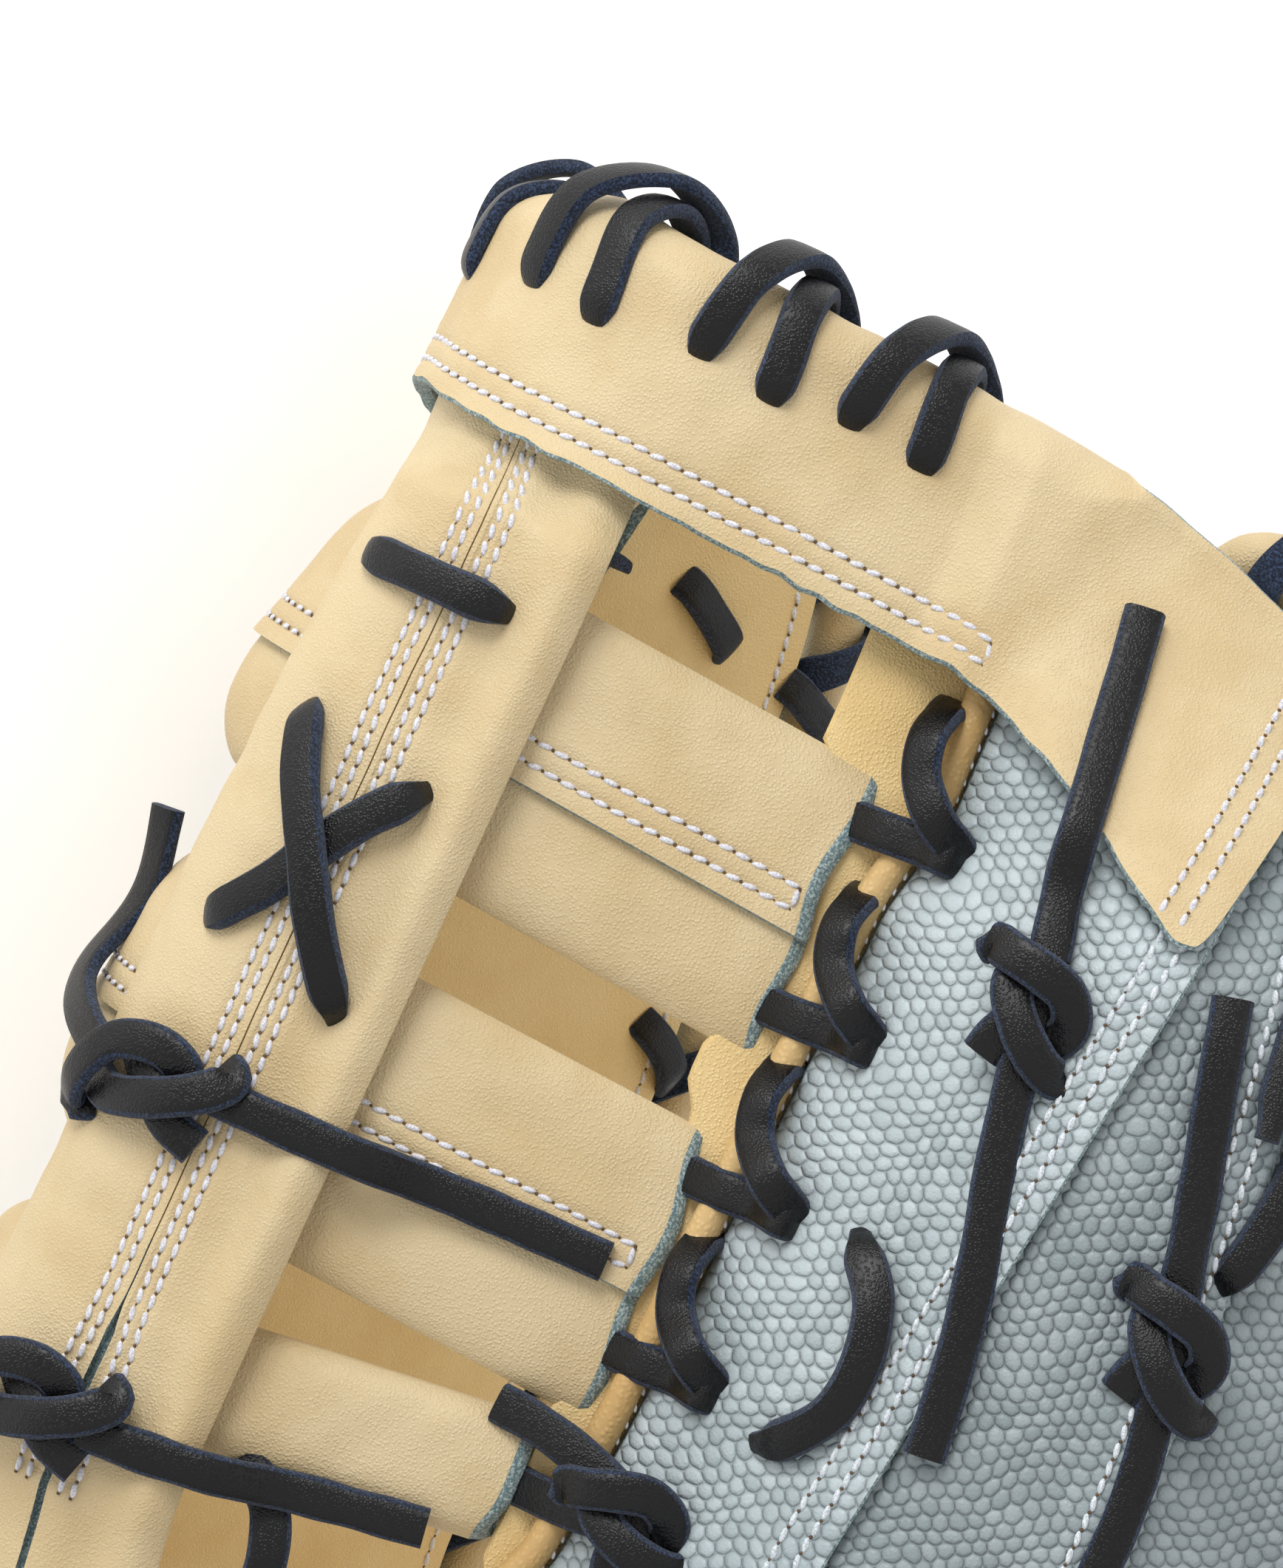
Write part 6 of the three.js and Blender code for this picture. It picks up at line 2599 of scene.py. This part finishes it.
    def build(self) -> list[Piece]:
        """Builds every lace that lies on the mitt.

        Returns:
            The laces.
        """
        made = [self.single(node, route, seed) for seed, (node, route) in enumerate(self.LYING.items())]
        for side, label in ((FINGER, "finger"), (THUMB, "thumb")):
            made.append(self.side_lace(side, f"{label}_web_lace"))
            made.append(self.crotch_lace(side, f"{label}_crotch_lace"))
        made.append(self.pocket_lace())
        return made


@dataclass(frozen=True)
class Tail:
    """A free lace tail: its route as shares of the length and of the web's half width."""

    node: str
    route: tuple[tuple[float, float], ...]
    roll: float = 0.0


class Tails(SubAssembly):
    """The free lace ends that leave the knots."""

    PLANS = (
        Tail("finger_tail_1", ((0.1915, 1.297), (0.1572, 1.258), (0.1195, 1.238), (0.0881, 1.227),
                               (0.0657, 1.217))),
        Tail("finger_tail_2", ((0.2262, 1.325), (0.2642, 1.367), (0.3019, 1.417), (0.3365, 1.45),
                               (0.3657, 1.467))),
        Tail("finger_tail_3", ((0.2785, 1.767), (0.2453, 1.725), (0.2107, 1.675), (0.1777, 1.63))),
        Tail("finger_tail_4", ((0.3125, 1.808), (0.3365, 1.833), (0.3616, 1.843), (0.3855, 1.842),
                               (0.418, 1.84), (0.448, 1.832))),
        Tail("post_tail_straight", ((0.3579, 0.025), (0.3569, 0.333), (0.3553, 0.567), (0.3547, 0.8))),
        Tail("post_tail_curled", ((0.3648, -0.13), (0.3447, -0.308), (0.3126, -0.362),
                                  (0.2756, -0.347)), -48),
        Tail("base_tail", ((0.4843, 0.065), (0.4796, 0.3), (0.4733, 0.5), (0.4673, 0.7))))

    def __init__(self, shop: Workshop) -> None:
        """Takes the workshop and keeps each tail's centreline."""
        super().__init__(shop)
        self.lines: dict[str, Array] = {}

    def line(self, plan: Tail) -> tuple[Array, Array]:
        """Centreline in metres and width directions of a tail, at its solid's height.

        Args:
            plan: The tail.

        Returns:
            Points and unit vectors.
        """
        rows = np.array([(a * SIZES.length, s * SIZES.web_half, 0) for a, s in plan.route])
        spots = evenly(rows, 0.8)
        height = lying_height(spots[:, 0], spots[:, 1])
        for _ in range(3):
            height = smooth_columns(height[:, None], 8)[:, 0]
        points = HIDE.place(spots[:, 0], spots[:, 1], height)
        out = HIDE.skin(spots[:, 0], spots[:, 1])[1]
        forward = unit(np.gradient(points, axis=0))
        side = unit(np.cross(forward, out))
        turn = np.radians(plan.roll) * np.linspace(0, 1, len(points))[:, None]
        return points, side * np.cos(turn) + np.cross(side, forward) * np.sin(turn)

    def build(self) -> list[Piece]:
        """Builds the tails.

        Returns:
            The tails.
        """
        made = []
        for seed, plan in enumerate(self.PLANS):
            points, side = self.line(plan)
            self.lines[plan.node] = points
            body = Body()
            add_lace(body, points, side, seed=seed + 20)
            made.append(lace_piece(f"{plan.node}_lace", body, plan.node))
        return made

    def trim(self) -> None:
        """Adds no trim."""


@dataclass(frozen=True)
class KnotPlan:
    """A knot: its place in millimetres and its turn on the leather in degrees."""

    node: str
    along: float
    across: float
    turn: float


@dataclass(frozen=True)
class KnotSizes:
    """Thickness of the knots' lace and its height over the leather, in millimetres."""

    thick: float = 1.5
    web_end_thick: float = 1.8
    lift: float = 0.9


class Knots(SubAssembly):
    """Overhand knots in flat lace, a band over two crossing strands."""

    sizes = KnotSizes()
    PLANS = (
        KnotPlan("finger_knot_upper", 67.0, 78.4, 0),
        KnotPlan("finger_knot_lower", 94.5, 107.4, 0),
        KnotPlan("web_end_knot", 138.0, 62.4, 30),
        KnotPlan("post_knot", 116.0, -3.0, 80),
        KnotPlan("base_knot", 154.0, -1.0, 80))
    BAND = (
        (-4.6, -5.6, -1.2), (-5.3, -6.4, 0.9), (-5.0, -4.4, 2.9), (-4.4, -0.6, 3.9), (-3.2, 2.8, 3.5),
        (-0.4, 4.5, 2.4), (2.0, 3.6, 1.2), (2.6, 1.0, 0.2))
    CROSSING = (
        (-4.4, -3.0, 0.6), (-1.5, -3.0, 2.1), (2.0, -0.6, 3.4), (4.8, 3.0, 3.2), (5.6, 5.6, 1.6),
        (4.4, 6.2, -0.2))
    BACK = ((-3.5, 3.0, 0.2), (0, 0.5, 1.0), (3.5, -2.2, 1.0), (6.5, -3.0, 0.3))
    WEB_END = (
        ((132.4, 43.5, 3.0), (132.6, 48, 4.6), (133.6, 54, 6.8), (135.6, 60, 8.6), (138, 63, 8.0)),
        ((140.2, 42.5, 0.4), (140.2, 48, 0.8), (139.8, 54, 5.4), (139, 59, 8.4), (138, 62, 8.2)),
        ((137, 62.5, 8.4), (134, 66.5, 9.4), (130.5, 70.4, 10.4), (126.6, 74.2, 11.4)))

    def knot(self, plan: KnotPlan) -> Piece:
        """One knot of three strands.

        Args:
            plan: The knot.

        Returns:
            The piece.
        """
        body = Body()
        turn = math.radians(plan.turn)
        under = [HIDE.over(plan.along, plan.across + d) for d in (-2, 0, 2)]
        ground = float(np.max(under)) + self.sizes.lift
        for seed, strand_plan in enumerate((self.BACK, self.CROSSING, self.BAND)):
            route = []
            for a, s, h in strand_plan:
                route.append((plan.along + a * math.cos(turn) - s * math.sin(turn),
                              plan.across + a * math.sin(turn) + s * math.cos(turn), ground + h))
            points, side = strand(route, step=0.4)
            add_lace(body, points, side, thick=self.sizes.thick, seed=seed)
        for seed, route in enumerate(self.WEB_END if plan.node == "web_end_knot" else ()):
            points, side = strand(route, step=0.5)
            add_lace(body, points, side, thick=self.sizes.web_end_thick, seed=seed + 5)
        return lace_piece(f"{plan.node}_strands", body, plan.node)

    def build(self) -> list[Piece]:
        """Builds the five knots."""
        return [self.knot(plan) for plan in self.PLANS]


# Stage

def pose(right: Array, up: Array, back: Array, spot: Array) -> Matrix:
    """Matrix of a camera or a light from its three axes and its place."""
    rows = np.stack([right, up, back, spot], axis=1).tolist()
    return Matrix([*rows, [0, 0, 0, 1]])


@dataclass(frozen=True)
class Camera:
    """The photograph's view: what it looks at, its turn and its reach."""

    along: float = 62.3
    across: float = 30.5
    height: float = 4.0
    ahead: float = 20.0
    turn: float = 115.0
    tall: float = 176.8
    distance: float = 700.0
    sensor: float = 36.0

    def place(self) -> None:
        """Makes the scene's camera."""
        heelward, fingerward, _ = HIDE.directions(self.along, self.across + self.ahead)
        lean = math.radians(self.turn - 90)
        right = unit(-math.sin(lean) * heelward + math.cos(lean) * fingerward)
        up = unit(-math.cos(lean) * heelward - math.sin(lean) * fingerward)
        target = HIDE.place(self.along, self.across, self.height)
        data = bpy.data.cameras.new("camera")
        data.sensor_width = self.sensor
        data.lens = self.sensor * self.distance / self.tall
        data.clip_start, data.clip_end = 0.05, 20
        made = bpy.data.objects.new("camera", data)
        bpy.context.scene.collection.objects.link(made)
        back = np.cross(right, up)
        spot = target + back * self.distance * MM
        made.matrix_world = pose(right, up, back, spot)
        bpy.context.scene.camera = made


@dataclass(frozen=True)
class Lamp:
    """A soft square light that shines at the mitt."""

    name: str
    toward: tuple[float, float, float]
    distance: float
    size: float
    power: float

    def place(self) -> None:
        """Makes the light."""
        data = bpy.data.lights.new(self.name, "AREA")
        data.size, data.energy = self.size, self.power
        made = bpy.data.objects.new(self.name, data)
        bpy.context.scene.collection.objects.link(made)
        heading = unit(np.array(self.toward, float))
        spot = HIDE.place(Camera.along, Camera.across, Camera.height) + heading * self.distance
        side = unit(np.cross([0, 0, 1], heading))
        up = np.cross(heading, side)
        made.matrix_world = pose(side, up, heading, spot)


class Studio:
    """A plain pale floor under soft lights."""

    LAMPS = (
        Lamp("key", (-0.75, -0.95, 0.22), 1.0, 0.42, 6.2),
        Lamp("fill", (0.7, -0.6, 1.0), 1.3, 1.2, 1.0),
        Lamp("top", (-0.5, 0.5, 1.0), 1.3, 1.5, 4.0))
    WORLD = 0.62
    GLOW = 0.42
    FLOOR_HALF = 3.0

    def build(self) -> None:
        """Makes the floor, the lights, the world and the camera."""
        mesh = bpy.data.meshes.new("floor")
        half = self.FLOOR_HALF
        corners = [(-half, -half, 0), (half, -half, 0), (half, half, 0), (-half, half, 0)]
        mesh.from_pydata(corners, [], [(0, 1, 2, 3)])
        floor = link("floor", mesh)
        material = bpy.data.materials.new("pale_floor")
        material.use_nodes = True
        shader = material.node_tree.nodes["Principled BSDF"]
        shader.inputs["Base Color"].default_value = (0.94, 0.94, 0.94, 1)
        shader.inputs["Emission Color"].default_value = (1, 1, 1, 1)
        shader.inputs["Emission Strength"].default_value = self.GLOW
        shader.inputs["Roughness"].default_value = 0.9
        mesh.materials.append(material)
        world = bpy.data.worlds.new("studio")
        world.use_nodes = True
        background = world.node_tree.nodes["Background"]
        background.inputs[0].default_value = (1, 1, 1, 1)
        background.inputs[1].default_value = self.WORLD
        bpy.context.scene.world = world
        bpy.context.scene.view_settings.view_transform = "Standard"
        for lamp in self.LAMPS:
            lamp.place()


def main() -> None:
    """Builds the mitt and its stage."""
    logging.basicConfig(level=logging.INFO, format="%(name)s: %(message)s")
    Camera().place()
    shop = Workshop()
    kinds = (Tails, Palm, Backs, Bindings, Rims, Crown, Post, Bars, Strap, CrownLacing, WebLacing, Knots)
    for kind in kinds:
        kind(shop).dress()
        LOG.info("%s done", kind.__name__)
    Studio().build()


if __name__ == "__main__":
    main()
